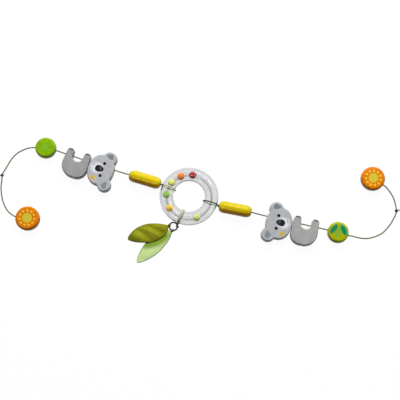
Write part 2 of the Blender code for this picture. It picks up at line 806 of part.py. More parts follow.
def build_side(name, side, ring, paints):
    """Everything strung on one side of the ring."""
    mirror = side["mirror"]
    places = strand_places(side)
    bead_heading = side["bead_heading"]
    chain_heading = side["chain_heading"]
    swing = pivot(name + "_strand_swing", (0, 0, 0), ring)

    knot_place = places["bead"] + heading(bead_heading) * KNOT_IN_MOUTH
    apex = lifted(knot_place, 0).length
    standoff = KNOT_RADIUS + TOUCH_GAP
    angle = math.degrees(math.atan2(knot_place.y, knot_place.x))
    loop = loop_points(apex, BEAD_RADIUS, standoff, angle)
    cord_piece(name + "_ring_loop", loop, paints["cord"], swing)
    knot = ball_mesh(name + "_loop_knot", KNOT_RADIUS, KNOT_LENGTH, BALL_SEGMENTS, BALL_RINGS)
    add_object(name + "_loop_knot", knot, paints["knot"], swing, knot_place, bead_heading)

    route = smooth_route(strung_route(side, places, knot_place), 3 * CORD_DIAMETER)
    cord_piece(name + "_cord", route, paints["cord"], swing)

    bead = turned_mesh(name + "_long_bead", bead_profile(), (1, 0, 0), TURNED_STEPS)
    add_object(name + "_long_bead", bead, paints["yellow"], swing, places["bead"], bead_heading)

    head = wooden_plate(
        name + "_koala_head",
        head_outline(mirror),
        FIGURE_EDGE_ROUND,
        paints["head"],
        swing,
        places["head"],
        chain_heading,
    )
    drill(head, -FACE_HALF_HEIGHT, FACE_HALF_HEIGHT + FACE_DROP)

    body = wooden_plate(
        name + "_koala_body",
        body_outline(mirror),
        FIGURE_EDGE_ROUND,
        paints["body"],
        swing,
        places["body"],
        chain_heading,
    )
    drill(body, -BODY_HALF_WIDTH, BODY_HALF_WIDTH)

    disc = wooden_plate(
        name + "_leaf_disc",
        disc_outline(LEAF_DISC_DIAMETER, mirror * side["disc_offset"]),
        DISC_EDGE_ROUND,
        paints["green"],
        swing,
        places["disc"],
        side["disc_heading"],
    )
    drill(disc, -LEAF_DISC_DIAMETER / 2, LEAF_DISC_DIAMETER / 2)

    tail = pivot(name + "_tail_swing", places["disc_end"], swing)
    tail_route = smooth_route(tail_points(side, places), 3 * CORD_DIAMETER)
    resting = [lifted(point, max(point.z, CORD_REST)) - places["disc_end"] for point in tail_route]
    wanted = Vector(side["tail_route"][side["knot_point"]]) - places["disc_end"]
    before, after = knotted_span(resting, wanted)
    before.z = after.z = TAIL_KNOT_RADIUS + CORD_LIFT - places["disc_end"].z
    cord_piece(name + "_tail_cord", resting, paints["cord"], tail)
    along = math.degrees(math.atan2(after.y - before.y, after.x - before.x))
    tail_knot(name + "_tail_knot", paints["knot"], tail, (before + after) / 2, along)

    end_disc = wooden_plate(
        name + "_end_disc",
        disc_outline(END_DISC_DIAMETER, 0),
        DISC_EDGE_ROUND,
        paints["orange"],
        tail,
        places["end_disc"] - lifted(places["disc_end"], 0),
        side["end_heading"],
    )
    end_disc.location.z = 0
    drill(end_disc, -END_DISC_DIAMETER / 2, END_DISC_DIAMETER / 2, END_SEAT_DEPTH)
    end_knot = ball_mesh(name + "_end_knot", KNOT_RADIUS, KNOT_LENGTH, BALL_SEGMENTS, BALL_RINGS)
    end_place = places["end_knot"] - places["disc_end"]
    add_object(name + "_end_knot", end_knot, paints["knot"], tail, end_place, side["end_heading"])


def build_leaves(ring, paints):
    """The hanger loop round the ring, its knot, the small cord ring and the two leaves."""
    hanger = pivot("hanger_slide", (0, 0, 0), ring)
    apex = RING_MIDLINE_RADIUS + RING_TUBE_RADIUS + HANGER_TO_KNOT
    knot_place = lifted(heading(HANGER_ANGLE) * apex, LEAF_RING_HEIGHT)
    loop = loop_points(apex, LEAF_RING_HEIGHT, HANGER_KNOT_RADIUS + TOUCH_GAP, HANGER_ANGLE)
    cord_piece("hanger_loop", loop, paints["pale_cord"], hanger)

    ring_middle = knot_place + heading(LEAF_RING_TURN) * LEAF_RING_RADIUS
    cord_ring = pivot("leaf_ring_middle", ring_middle, hanger)
    count = 4 * TUBE_ARC_STEPS - 8
    circle = [heading(360 * step / count) * LEAF_RING_RADIUS for step in range(count)]
    cord_piece("leaf_cord_ring", circle, paints["knot"], cord_ring, closed=True)

    knot = ball_mesh("hanger_knot", HANGER_KNOT_RADIUS, 2 * HANGER_KNOT_RADIUS, BALL_SEGMENTS, BALL_RINGS)
    knot = add_object("hanger_knot", knot, paints["knot"], hanger, knot_place, LEAF_RING_TURN)
    tunnel = arc((LEAF_RING_RADIUS, 0), CORD_RADIUS + TOUCH_GAP, 0, 360, BORE_STEPS)[:-1]
    tunnel_mesh = turned_mesh("hanger_knot_tunnel", [(x, 0, z) for x, z in tunnel], (0, 0, 1), RING_STEPS)
    apply_tool(knot, add_object("hanger_knot_tunnel", tunnel_mesh, None, cord_ring), "DIFFERENCE")

    olive = leaf_mesh("olive_leaf", OLIVE_LENGTH, OLIVE_HALF_WIDTHS, OLIVE_SKEWS, olive_under, olive_over)
    cloth_leaf(
        "olive_leaf",
        olive,
        paints["olive"],
        cord_ring,
        heading(OLIVE_STEM_ANGLE) * LEAF_RING_RADIUS,
        OLIVE_HEADING,
        OLIVE_STEM_ANGLE,
    )
    light = leaf_mesh("light_leaf", LIGHT_LENGTH, LIGHT_HALF_WIDTHS, LIGHT_SKEWS, light_under, light_over)
    cloth_leaf(
        "light_leaf",
        light,
        paints["light"],
        cord_ring,
        heading(LIGHT_STEM_ANGLE) * LEAF_RING_RADIUS,
        LIGHT_HEADING,
        LIGHT_STEM_ANGLE,
    )


def main():
    clear_scene()
    paints = {
        "cord": lacquer("olive_cord", (0.25, 0.29, 0.15), 0.8),
        "pale_cord": lacquer("pale_cord", (0.52, 0.60, 0.42), 0.8),
        "knot": lacquer("dark_cord", (0.09, 0.12, 0.05), 0.8),
        "yellow": lacquer("yellow_lacquer", (0.87, 0.66, 0.01), 0.25),
        "orange": lacquer("orange_lacquer", (0.93, 0.33, 0.01), 0.3),
        "green": lacquer("green_lacquer", (0.35, 0.58, 0.02), 0.3),
        "head": lacquer("light_grey_lacquer", (0.56, 0.56, 0.58), 0.4),
        "body": lacquer("grey_lacquer", (0.36, 0.36, 0.36), 0.45),
        "olive": lacquer("olive_cloth", (0.30, 0.30, 0.02), 0.9),
        "light": lacquer("pale_green_cloth", (0.52, 0.72, 0.34), 0.85),
    }
    ring = pivot("ring_middle", (*RING_PLACE, 0))
    build_ring(ring)
    for name, side in SIDES.items():
        build_side(name, side, ring, paints)
    build_leaves(ring, paints)


main()
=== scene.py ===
# %% [markdown]
# # A pram chain with two koalas
#
# A pram chain is an elastic cord that is tied across the hood of a pram. This one carries
# a clear rattle ring in its middle, and on each side a long bead, a koala in two pieces, a
# green disc and an orange disc. Two cloth leaves hang from the ring.
#
# The script dresses a fixed model of the toy. That model holds the sizes and the joints, so
# every piece made here takes the place of one of its nodes and rides on that node's body.
# All lengths are in metres, unless a name ends in MM or a line says otherwise.

# %% Load the fixed model
import json
import math

import bmesh
import bpy
import numpy as np
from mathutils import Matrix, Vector


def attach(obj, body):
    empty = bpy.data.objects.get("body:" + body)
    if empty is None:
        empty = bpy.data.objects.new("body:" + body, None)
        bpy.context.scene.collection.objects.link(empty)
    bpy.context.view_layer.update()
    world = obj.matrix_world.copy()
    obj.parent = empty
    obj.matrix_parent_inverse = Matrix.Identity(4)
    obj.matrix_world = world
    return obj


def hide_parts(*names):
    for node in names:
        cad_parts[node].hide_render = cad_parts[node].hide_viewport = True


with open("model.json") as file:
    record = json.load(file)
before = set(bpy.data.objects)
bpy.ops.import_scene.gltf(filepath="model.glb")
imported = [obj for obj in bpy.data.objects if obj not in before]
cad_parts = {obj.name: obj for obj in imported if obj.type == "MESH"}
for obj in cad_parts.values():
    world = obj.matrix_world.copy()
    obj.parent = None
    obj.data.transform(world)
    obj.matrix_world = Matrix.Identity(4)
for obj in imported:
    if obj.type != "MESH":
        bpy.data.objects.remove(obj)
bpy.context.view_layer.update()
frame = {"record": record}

body_of = {
    node: body
    for body, nodes in frame["record"]["behaviour"]["bodies"].items()
    for node in nodes
}
print("nodes to dress:", len(body_of))

# %% [markdown]
# ## Camera
#
# The picture was taken from nearly overhead: the toy lies on a table and the camera looks
# down at 77 degrees with a long lens, so there is hardly any perspective. A camera at the
# same place comes first, because it decides which details can be seen at all.

# %% Put up the camera
CAMERA_PLACE = (-0.00125, -0.22200, 0.98641)
CAMERA_TILT = 12.7
HALF_VIEW_ANGLE = 13.0


def put(name, data):
    """A new object in the scene."""
    made = bpy.data.objects.new(name, data)
    bpy.context.scene.collection.objects.link(made)
    return made


camera = put("camera", bpy.data.cameras.new("camera"))
camera.location = CAMERA_PLACE
camera.rotation_euler = (math.radians(CAMERA_TILT), 0, 0)
camera.data.lens = camera.data.sensor_width / 2 / math.tan(math.radians(HALF_VIEW_ANGLE))
bpy.context.scene.camera = camera
print("lens:", round(camera.data.lens, 1), "mm")

# %% [markdown]
# ## Colours and nodes
#
# Colours are written as a painter would, as three numbers from 0 to 255, and turned into the
# linear values that a shader wants. A few short helpers add shader nodes: one for any node,
# one for sums, and one that lays a colour over another through a mask. A mask is a value
# from 0 to 1 that says how much of something shows at each point.

# %% Helpers for colours and masks
MM = 0.001


def tone(red, green, blue):
    """The linear colour of a screen colour from 0 to 255.

    A share s of full brightness becomes ((s + 0.055) / 1.055) to the power 2.4, and close to
    black it becomes s / 12.92.
    """
    share = np.array([red, green, blue]) / 255
    linear = np.where(share <= 0.04045, share / 12.92, ((share + 0.055) / 1.055) ** 2.4)
    return (*[float(x) for x in linear], 1.0)


def add(tree, kind, feeds=None, **settings):
    """Add a shader node, set it up, and feed its inputs from values or other outputs."""
    node = tree.nodes.new("ShaderNode" + kind)
    for key, value in settings.items():
        setattr(node, key, value)
    for key, value in (feeds or {}).items():
        if isinstance(value, bpy.types.NodeSocket):
            tree.links.new(value, node.inputs[key])
        else:
            node.inputs[key].default_value = value
    return node


def feed(tree, shader, **outputs):
    """Link outputs to a shader's inputs."""
    for key, output in outputs.items():
        tree.links.new(output, shader.inputs[key.replace("_", " ")])


def sums(tree, operation, *values):
    """One step of arithmetic between values or outputs."""
    return add(tree, "Math", dict(enumerate(values)), operation=operation).outputs[0]


def fade(tree, value, start, end):
    """Rise softly from 0 to 1 as the value goes from start to end."""
    ranged = {"Value": value, "From Min": start, "From Max": end}
    return add(tree, "MapRange", ranged, interpolation_type="SMOOTHSTEP").outputs["Result"]


def over(tree, under, colour, mask):
    """Lay a colour over another one where the mask is 1."""
    return add(tree, "Mix", {0: mask, 6: under, 7: colour}, data_type="RGBA").outputs[2]


# %% Helpers for places on a piece
def toy_place(tree):
    """Where a point is on the toy at rest, in metres."""
    return add(tree, "TexCoord").outputs["Object"]


def own_place(tree, place, turn, mirror=1):
    """The piece's own coordinates in millimetres, from its middle, its X axis ahead."""
    feeds = {
        "Vector": toy_place(tree),
        "Location": tuple(float(x) for x in place),
        "Rotation": (0, 0, math.radians(turn)),
        "Scale": (MM, MM * mirror, MM),
    }
    return add(tree, "Mapping", feeds, vector_type="TEXTURE").outputs[0]


def apart(tree, vector):
    """The X, Y and Z of a vector, each as an output."""
    return add(tree, "SeparateXYZ", {0: vector}).outputs


def lay_place(tree):
    """Where a point is in its surface's own lay, which is kept as its UV map."""
    return apart(tree, add(tree, "UVMap", uv_map="lay").outputs[0])


def length_of(tree, vector):
    """How long a vector is: the root of the sum of its parts' squares."""
    return add(tree, "VectorMath", {0: vector}, operation="LENGTH").outputs["Value"]


def length_across(tree, parts):
    """The same for X and Y alone, which is the distance from the upright axis."""
    return length_of(tree, add(tree, "CombineXYZ", {0: parts["X"], 1: parts["Y"]}).outputs[0])


# %% Helpers for materials
def ground(name, colour, roughness, **inputs):
    """A new material in one colour: the material, its tree and its shader."""
    material = bpy.data.materials.new(name)
    material.use_nodes = True
    tree = material.node_tree
    shader = tree.nodes["Principled BSDF"]
    shader.inputs["Base Color"].default_value = tone(*colour)
    shader.inputs["Roughness"].default_value = roughness
    for key, value in inputs.items():
        shader.inputs[key.replace("_", " ")].default_value = value
    material.diffuse_color = tone(*colour)
    return material, tree, shader


def noise(tree, vector, size, detail=2.0):
    """Soft noise whose spots are about as wide as the size."""
    feeds = {"Vector": vector, "Scale": 1 / size, "Detail": detail}
    return add(tree, "TexNoise", feeds).outputs["Fac"]


def raised(tree, height, distance, strength):
    """A bump: the surface seems to stand up by the distance where the height is 1."""
    feeds = {"Strength": strength, "Distance": distance, "Height": height}
    return add(tree, "Bump", feeds).outputs[0]


print("mid grey in linear values:", round(tone(128, 128, 128)[0], 3))

# %% [markdown]
# ## Table and light
#
# The toy was photographed on a white sweep, lit softly from the top of the picture: the
# wooden pieces have bright tops and dark lower edges. One large soft lamp stands behind the
# toy, two narrow strips, front left and back right, draw a line along the beads, and an even
# white surround fills in the rest. The table shows as white but keeps a faint shadow.
#
# A dark cloth hangs over the camera, and dark cards stand in front and on the left, as in a
# studio: without something dark to mirror, clear plastic on white can't be seen at all, and
# lacquer looks milky.

# %% Put up the lamps
SURROUND_LIGHT = 0.24
LAMPS = {
    "big_lamp": {
        "lights": "diffuse",
        "power": 21.4,
        "size": (0.9, 0.7),
        "place": (0.05, 0.86, 0.92),
        "looks_at": (0, 0, 0),
    },
    "front_strip": {
        "lights": "glossy",
        "power": 1.8,
        "size": (0.56, 0.12),
        "place": (-0.36, -0.42, 0.75),
        "looks_at": (-0.36, 0, 0),
    },
    "back_strip": {
        "lights": "glossy",
        "power": 1.8,
        "size": (0.56, 0.12),
        "place": (0.36, 0.52, 0.72),
        "looks_at": (0.36, 0, 0),
    },
}


def seen_directly(tree):
    """1 for rays from the camera, off gloss and through clear plastic, and 0 for the rest."""
    path = add(tree, "LightPath").outputs
    both = sums(tree, "MAXIMUM", path["Is Camera Ray"], path["Is Glossy Ray"])
    return sums(tree, "MAXIMUM", both, path["Is Transmission Ray"])


def lamp(name, lights, power, size, place, looks_at):
    """A soft rectangular lamp.

    It either gives plain light or only draws its own shape in gloss. No lamp is seen through
    the clear plastic, where it would make broken white spots.
    """
    data = bpy.data.lights.new(name, "AREA")
    data.shape = "RECTANGLE"
    data.size, data.size_y = size
    data.energy = power
    made = put(name, data)
    made.location = place
    gaze = Vector(looks_at) - made.location
    made.rotation_euler = gaze.to_track_quat("-Z", "Y").to_euler()
    for kind in ("diffuse", "glossy", "transmission"):
        setattr(made, "visible_" + kind, kind == lights)


scene = bpy.context.scene
scene.view_settings.view_transform = "Standard"
scene.world = bpy.data.worlds.new("surround")
scene.world.use_nodes = True
sky = scene.world.node_tree
surround = sky.nodes["Background"]
surround.inputs["Color"].default_value = (1, 1, 1, 1)
strength = add(sky, "MapRange", {"Value": seen_directly(sky), "To Min": SURROUND_LIGHT})
feed(sky, surround, Strength=strength.outputs["Result"])
for name, settings in LAMPS.items():
    lamp(name, **settings)
print("lamps:", ", ".join(LAMPS))

# %% Lay the table and hang the dark cloth
TABLE_SIZE = (3.0, 3.0)
TABLE_TONE = (108, 108, 108)
TABLE_ROUGHNESS = 0.9
TABLE_SHADOW_SHARE = 0.05
TABLE_GLOW = 0.96
BLACK_TONE = (30, 30, 30)
BLACK_ROUGHNESS = 1.0
DARK_SHEETS = {
    "dark_cloth": {"size": (1.6, 1.34), "place": (0, -0.10, 1.16)},
    "dark_card": {"size": (2.4, 1.1), "place": (0.2, -0.92, 0.57), "tilt": 90},
    "dark_side_card": {
        "size": (1.3, 0.9),
        "place": (-1.0, -0.1, 0.47),
        "tilt": 90,
        "turn": 90,
    },
}


def studio_sheet(name, paint, size, place, tilt=0, turn=0):
    """A flat rectangle that belongs to the studio and not to the toy."""
    x, y = size[0] / 2, size[1] / 2
    mesh = bpy.data.meshes.new(name)
    mesh.from_pydata([(-x, -y, 0), (x, -y, 0), (x, y, 0), (-x, y, 0)], [], [(0, 1, 2, 3)])
    mesh.materials.append(paint)
    made = put(name, mesh)
    made.location = place
    made.rotation_euler = (math.radians(tilt), 0, math.radians(turn))
    return made


table_paint, tree, shader = ground("table_white", TABLE_TONE, TABLE_ROUGHNESS)
faint = add(tree, "BsdfDiffuse", {"Color": (TABLE_SHADOW_SHARE,) * 3 + (1,)})
glow = add(tree, "Emission", {"Strength": TABLE_GLOW})
shown = add(tree, "AddShader", {0: faint.outputs[0], 1: glow.outputs[0]})
either = {0: seen_directly(tree), 1: shader.outputs[0], 2: shown.outputs[0]}
table_mix = add(tree, "MixShader", either)
feed(tree, tree.nodes["Material Output"], Surface=table_mix.outputs[0])
studio_sheet("table", table_paint, TABLE_SIZE, (0, 0, 0))
black = ground("black_cloth", BLACK_TONE, BLACK_ROUGHNESS)[0]
for name, settings in DARK_SHEETS.items():
    studio_sheet(name, black, **settings).visible_camera = False
print("studio: table,", ", ".join(DARK_SHEETS))

# %% [markdown]
# ## Surfaces from grids
#
# Every piece is a surface: a grid of points, worked out by a formula, with a face between
# each four neighbours. Where a grid closes on itself, as a tube does, its last row or column
# joins the first. Grids of one piece are put together, points that meet are merged, and each
# piece then rides on the body of the node that it stands for.

# %% Helpers for meshes
MERGE_WITHIN = 0.0004 * MM
SHARP_ANGLE = 42


def grid(points, wrap_rows=False, wrap_columns=True, along=None, around=None):
    """A grid of points with its own lay: how far along each row is, and the share round."""
    rows, columns = points.shape[:2]
    if along is None:
        along = np.arange(rows + wrap_rows) * MM
    if around is None:
        around = np.arange(columns + wrap_columns) / (columns - 1 + wrap_columns)
    along, around = np.broadcast_arrays(along[:, None] / MM, np.atleast_2d(around))
    lay = np.stack([along, around], 2)
    return {"points": points, "wrap": (wrap_rows, wrap_columns), "lay": lay}


def make_mesh(name, grids):
    """One mesh of quads from the grids, closed and facing outwards, with its lay as UVs."""
    points, quads, lays, first = [], [], [], 0
    for part in grids:
        rows, columns = part["points"].shape[:2]
        number = first + np.arange(rows * columns).reshape(rows, columns)
        if part["wrap"][0]:
            number = np.vstack([number, number[:1]])
        if part["wrap"][1]:
            number = np.hstack([number, number[:, :1]])
        for store, field in ((quads, number), (lays, part["lay"])):
            corner = [field[:-1, :-1], field[1:, :-1], field[1:, 1:], field[:-1, 1:]]
            store.append(np.stack(corner, 2).reshape(-1, 4, *field.shape[2:]))
        points.append(part["points"].reshape(-1, 3))
        first += rows * columns
    mesh = bpy.data.meshes.new(name)
    mesh.from_pydata(np.concatenate(points), [], np.concatenate(quads).tolist())
    mesh.uv_layers.new(name="lay").data.foreach_set("uv", np.concatenate(lays).ravel())
    shape = bmesh.new()
    shape.from_mesh(mesh)
    bmesh.ops.remove_doubles(shape, verts=shape.verts, dist=MERGE_WITHIN)
    bmesh.ops.recalc_face_normals(shape, faces=shape.faces)
    shape.to_mesh(mesh)
    shape.free()
    mesh.shade_smooth()
    mesh.set_sharp_from_angle(angle=math.radians(SHARP_ANGLE))
    return mesh


def piece(name, grids, paint, slot, *nodes, body=None):
    """A finished piece that stands for its nodes and rides on their body."""
    mesh = make_mesh(name, grids)
    mesh.materials.append(paint)
    made = put(name, mesh)
    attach(made, body or body_of[nodes[0]])
    if nodes:
        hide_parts(*nodes)
    size = np.ptp(np.concatenate([g["points"].reshape(-1, 3) for g in grids]), axis=0) / MM
    print(f"{name}: {len(mesh.polygons)} faces, {size.round(1)} mm")
    return made


# %% Helpers for shapes
def laid(points, place, turn, mirror=1):
    """Points of a piece turned about Z and moved to its place; mirror -1 turns it over."""
    angle = math.radians(turn)
    along = np.array([math.cos(angle), math.sin(angle), 0])
    across = np.array([-math.sin(angle), math.cos(angle), 0]) * mirror
    up = np.array([0, 0, 1.0])
    return place + points[..., :1] * along + points[..., 1:2] * across + points[..., 2:] * up


def direction(angle):
    """Unit vector in the table's plane."""
    return np.array([math.cos(math.radians(angle)), math.sin(math.radians(angle)), 0])


def at(place, height):
    """A place on the table, lifted to a height."""
    return np.array([*place, height])


def arc(centre, radius, start, end, steps):
    """Points on an arc in the plane, both ends included: centre plus radius at each angle."""
    angle = np.radians(np.linspace(start, end, steps + 1))
    return np.stack([centre[0] + radius * np.cos(angle), centre[1] + radius * np.sin(angle)], 1)


def reach_along(points):
    """Distance from the first point, along the line, at each point."""
    steps = np.linalg.norm(np.diff(points, axis=0), axis=1)
    return np.concatenate([[0], np.cumsum(steps)])


def spaced(points, count):
    """The same line with that many points, an even distance apart."""
    reach = reach_along(points)
    wanted = np.linspace(0, reach[-1], count)
    return np.stack([np.interp(wanted, reach, axis) for axis in points.T], 1)


def revolve(profile, steps):
    """Turn a closed half section (x, radius) once about the X axis."""
    angle = np.linspace(0, math.tau, steps, endpoint=False)
    x = np.repeat(profile[:, :1], steps, 1)
    return np.stack([x, profile[:, 1:] * np.cos(angle), profile[:, 1:] * np.sin(angle)], 2)


print("points that meet within", MERGE_WITHIN / MM, "mm are merged")

# %% [markdown]
# ## The sizes that pieces share
#
# The toy is a chain, so each piece's place follows from its neighbour. The numbers below are
# those of the fixed model: where each piece's own middle stands, and which way its own X
# axis points, away from the ring along the cord. The left side is the right side turned
# over, so its pieces are mirrored.

# %% Places and sizes
CORD_DIAMETER = 0.0015
CORD_RADIUS = CORD_DIAMETER / 2
TABLE_GAP = 0.0001
CORD_REST = CORD_RADIUS + TABLE_GAP
BORE_RADIUS = 0.00145
WOOD_THICKNESS = 0.010
FLAT_HEIGHT = WOOD_THICKNESS / 2
BEAD_HEIGHT = 0.00705
LEAF_HEIGHT = 0.00215
RING_MIDDLE = np.array([-0.0140, 0.0024, 0])
RING_HEIGHT = 0.0096
RING_MIDLINE_RADIUS = 0.0262
RING_TUBE_RADIUS = 0.0078

SIDES = {
    "left": {
        "mirror": -1,
        "bead": (-0.04728, 0.01764),
        "bead_heading": 162.9,
        "head": (-0.11423, 0.03936),
        "body": (-0.14427, 0.04970),
        "chain_heading": 161.0,
        "green_disc": (-0.18272, 0.06050),
        "disc_heading": 172.0,
        "disc_offset": 0.0012,
        "end_disc": (-0.20030, -0.02285),
        "end_heading": -8.7,
        "end_knot": (-0.18864, -0.02464),
    },
    "right": {
        "mirror": 1,
        "bead": (0.02093, -0.00854),
        "bead_heading": -11.2,
        "head": (0.08977, -0.02321),
        "body": (0.12072, -0.03036),
        "chain_heading": -13.0,
        "green_disc": (0.15755, -0.03927),
        "disc_heading": -14.9,
        "disc_offset": 0.0,
        "end_disc": (0.20035, 0.02446),
        "end_heading": 148.5,
        "end_knot": (0.19029, 0.03063),
    },
}
print("pieces strung from", SIDES["left"]["end_disc"], "to", SIDES["right"]["end_disc"])

# %% [markdown]
# ## Elastic cord
#
# The cord is round elastic with a braided cotton jacket, 1.5 mm thick. It is a tube: a
# circle carried along a smooth line. The braid is two families of threads that wind round
# the cord in opposite directions, so the material is made from two slanted waves in the
# cord's own lay, and it follows every bend of the cord.

# %% Braided jacket
BRAID_PITCH_MM = 1.3
BRAID_THREADS = 3
BRAID_RELIEF = 0.12 * MM
BRAID_STRENGTH = 0.8
BRAID_COAT = {"roughness": 0.75, "Sheen_Weight": 0.15}
THREAD_EDGE = (-0.4, 1.0)
FUZZ_SIZE = 1.2 * MM
THREAD_SHARE, FUZZ_SHARE = 0.6, 0.5


def braided(name, colour, shade):
    """Two slanted waves over the lay; the higher of both is the thread that lies on top.

    The shade is painted shade in the gaps between the threads, varied at random by the fuzz:
    it shows where the thread's share plus the fuzz's is low.
    """
    material, tree, shader = ground(name, colour, **BRAID_COAT)
    lay = lay_place(tree)
    run = sums(tree, "MULTIPLY", lay["X"], math.tau / BRAID_PITCH_MM)
    turn = sums(tree, "MULTIPLY", lay["Y"], math.tau * BRAID_THREADS)
    one = sums(tree, "SINE", sums(tree, "ADD", run, turn))
    other = sums(tree, "SINE", sums(tree, "SUBTRACT", run, turn))
    thread = fade(tree, sums(tree, "MAXIMUM", one, other), *THREAD_EDGE)
    fuzz = noise(tree, toy_place(tree), FUZZ_SIZE)
    threads = sums(tree, "MULTIPLY", thread, THREAD_SHARE)
    level = sums(tree, "MULTIPLY_ADD", fuzz, FUZZ_SHARE, threads)
    # Painted shade in the braid's gaps, mixed with random fuzz.
    shown = over(tree, tone(*shade), tone(*colour), level)
    bump = raised(tree, thread, BRAID_RELIEF, BRAID_STRENGTH)
    feed(tree, shader, Base_Color=shown, Normal=bump)
    return material


cord_paint = braided("braided_olive_cord", (128, 132, 86), (74, 80, 46))
pale_cord_paint = braided("braided_pale_cord", (196, 204, 172), (140, 148, 112))
dark_cord_paint = braided("braided_dark_cord", (66, 74, 46), (28, 34, 18))
print("braid:", BRAID_THREADS, "threads each way,", BRAID_PITCH_MM, "mm apart")

# %% [markdown]
# ## Lines and tubes
#
# A cord's route is a few given points, joined by a curve that goes through all of them. A
# knot is drawn as what shows of it, turns of the same cord wound tightly.

# %% Helpers for cords
CORD_SIDES = 14
CORD_STEP = 0.7 * MM
CURVE_STEPS = 24
DOME_REACH = np.array([0.6, 0.5, 0.3])
DOME_WIDTH = np.array([0, 0.5, 0.8])


def smooth_route(points, step):
    """A smooth curve through the points, resampled at an even step.

    Between two points it is the cubic whose slope at each of them is half the difference of
    its neighbours.
    """
    route = np.array(points, float)
    route = np.vstack([2 * route[0] - route[1], route, 2 * route[-1] - route[-2]])
    a, b, c, d = (route[i : len(route) - 3 + i, None] for i in range(4))
    t = (np.arange(CURVE_STEPS) / CURVE_STEPS)[:, None]
    bend = 2 * b + (c - a) * t + (2 * a - 5 * b + 4 * c - d) * t**2
    line = ((bend + (3 * b - a - 3 * c + d) * t**3) / 2).reshape(-1, 3)
    line = np.vstack([line, route[-2]])
    return spaced(line, max(3, round(reach_along(line)[-1] / step) + 1))


def domed(path, radius, flat):
    """A path with a dome at each end: two smaller circles and a point, a little further out."""
    start, end = path[0] - path[1], path[-1] - path[-2]
    near = start / np.linalg.norm(start) * radius[0] * DOME_REACH[:, None]
    far = end / np.linalg.norm(end) * radius[-1] * DOME_REACH[::-1, None]
    path = np.vstack([path[0] + near, path, path[-1] + far])
    radius = np.concatenate([radius[0] * DOME_WIDTH, radius, radius[-1] * DOME_WIDTH[::-1]])
    return path, radius, np.pad(flat, 3, mode="edge")


def tube(path, radius, closed=False, upright=(0, 0, 1), flat=1.0, sides=CORD_SIDES):
    """Circles carried along a path.

    At a point P with direction T the side is S = upright x T and the lift is L = T x S. The
    circle is P + radius (cos a S + flat sin a L), so a flat above 1 makes a tape. Open ends
    are closed by domes.
    """
    flat = np.broadcast_to(flat, len(path)).astype(float)
    radius = np.broadcast_to(radius, len(path)).astype(float)
    if closed:
        ahead = np.roll(path, -1, 0) - np.roll(path, 1, 0)
    else:
        path, radius, flat = domed(path, radius, flat)
        ahead = np.gradient(path, axis=0)
    ahead = ahead / np.linalg.norm(ahead, axis=1, keepdims=True)
    side = np.cross(np.broadcast_to(upright, path.shape), ahead)
    side = side / np.linalg.norm(side, axis=1, keepdims=True)
    lift = np.cross(ahead, side)
    angle = np.linspace(0, math.tau, sides, endpoint=False)[:, None]
    ring = np.cos(angle) * side[:, None] + flat[:, None, None] * np.sin(angle) * lift[:, None]
    points = path[:, None] + radius[:, None, None] * ring
    along = reach_along(np.vstack([path, path[:1]]) if closed else path)
    return grid(points, wrap_rows=closed, along=along)


# %% Helpers for knots
KNOTS = {"small": (0.0016, 0.0032), "large": (0.0019, 0.0034)}
KNOT_TURNS = 2.0
KNOT_STRAND = 0.62 * MM
KNOT_STEPS, STUB_STEPS, KNOT_SIDES = 40, 12, 12
DIVE_SHARE = 0.12
STUB_DROP = 0.4
MIDDLE_COIL = 0.25


def wound(outer, length, stub):
    """Path of a cord wound tightly round the X axis: a coil whose ends dive into its middle.

    A point at share s is (length s, coil cos a, coil sin a) with a rising evenly. With a
    stub the last end runs straight out sideways instead, from the top of the knot.
    """
    share = np.linspace(0, 1, KNOT_STEPS)
    angle = math.pi / 2 - math.tau * KNOT_TURNS * (1 - share)
    start, end = (np.clip(run / DIVE_SHARE, 0, 1) for run in (share, 1 - share))
    dive = start * (1 if stub else end)
    coil = (outer - KNOT_STRAND) * (MIDDLE_COIL + (1 - MIDDLE_COIL) * dive)
    x = (share - 0.5) * (length - 2 * KNOT_STRAND)
    path = np.stack([x, coil * np.cos(angle), coil * np.sin(angle)], 1)
    if stub:
        out = np.linspace(0, 1, STUB_STEPS)[1:, None]
        path = np.vstack([path, path[-1] + out * [0, -outer - stub, -STUB_DROP * outer]])
    return path


def knot(name, node, size, place, turn, stub=0.0):
    """A wound knot as one tube; the axis of the winding is the tube's upright."""
    path = laid(wound(*KNOTS[size], stub), place, turn)
    coil = tube(path, KNOT_STRAND, upright=direction(turn), sides=KNOT_SIDES)
    return piece(name, [coil], dark_cord_paint, "dark_cord", node)


print("knots:", {size: f"{2 * outer / MM:.1f} mm thick" for size, (outer, _) in KNOTS.items()})

# %% [markdown]
# ## Free tails
#
# Past the green disc the cord is free. On the left it falls in a bow to the orange disc, on
# the right it turns back up in a hook. Each tail leaves its disc at the height of the bore,
# lies down on the table, and rises again into the next bore. A knot sits halfway along, and
# a smaller one inside the orange disc's far mouth keeps the disc on the cord.

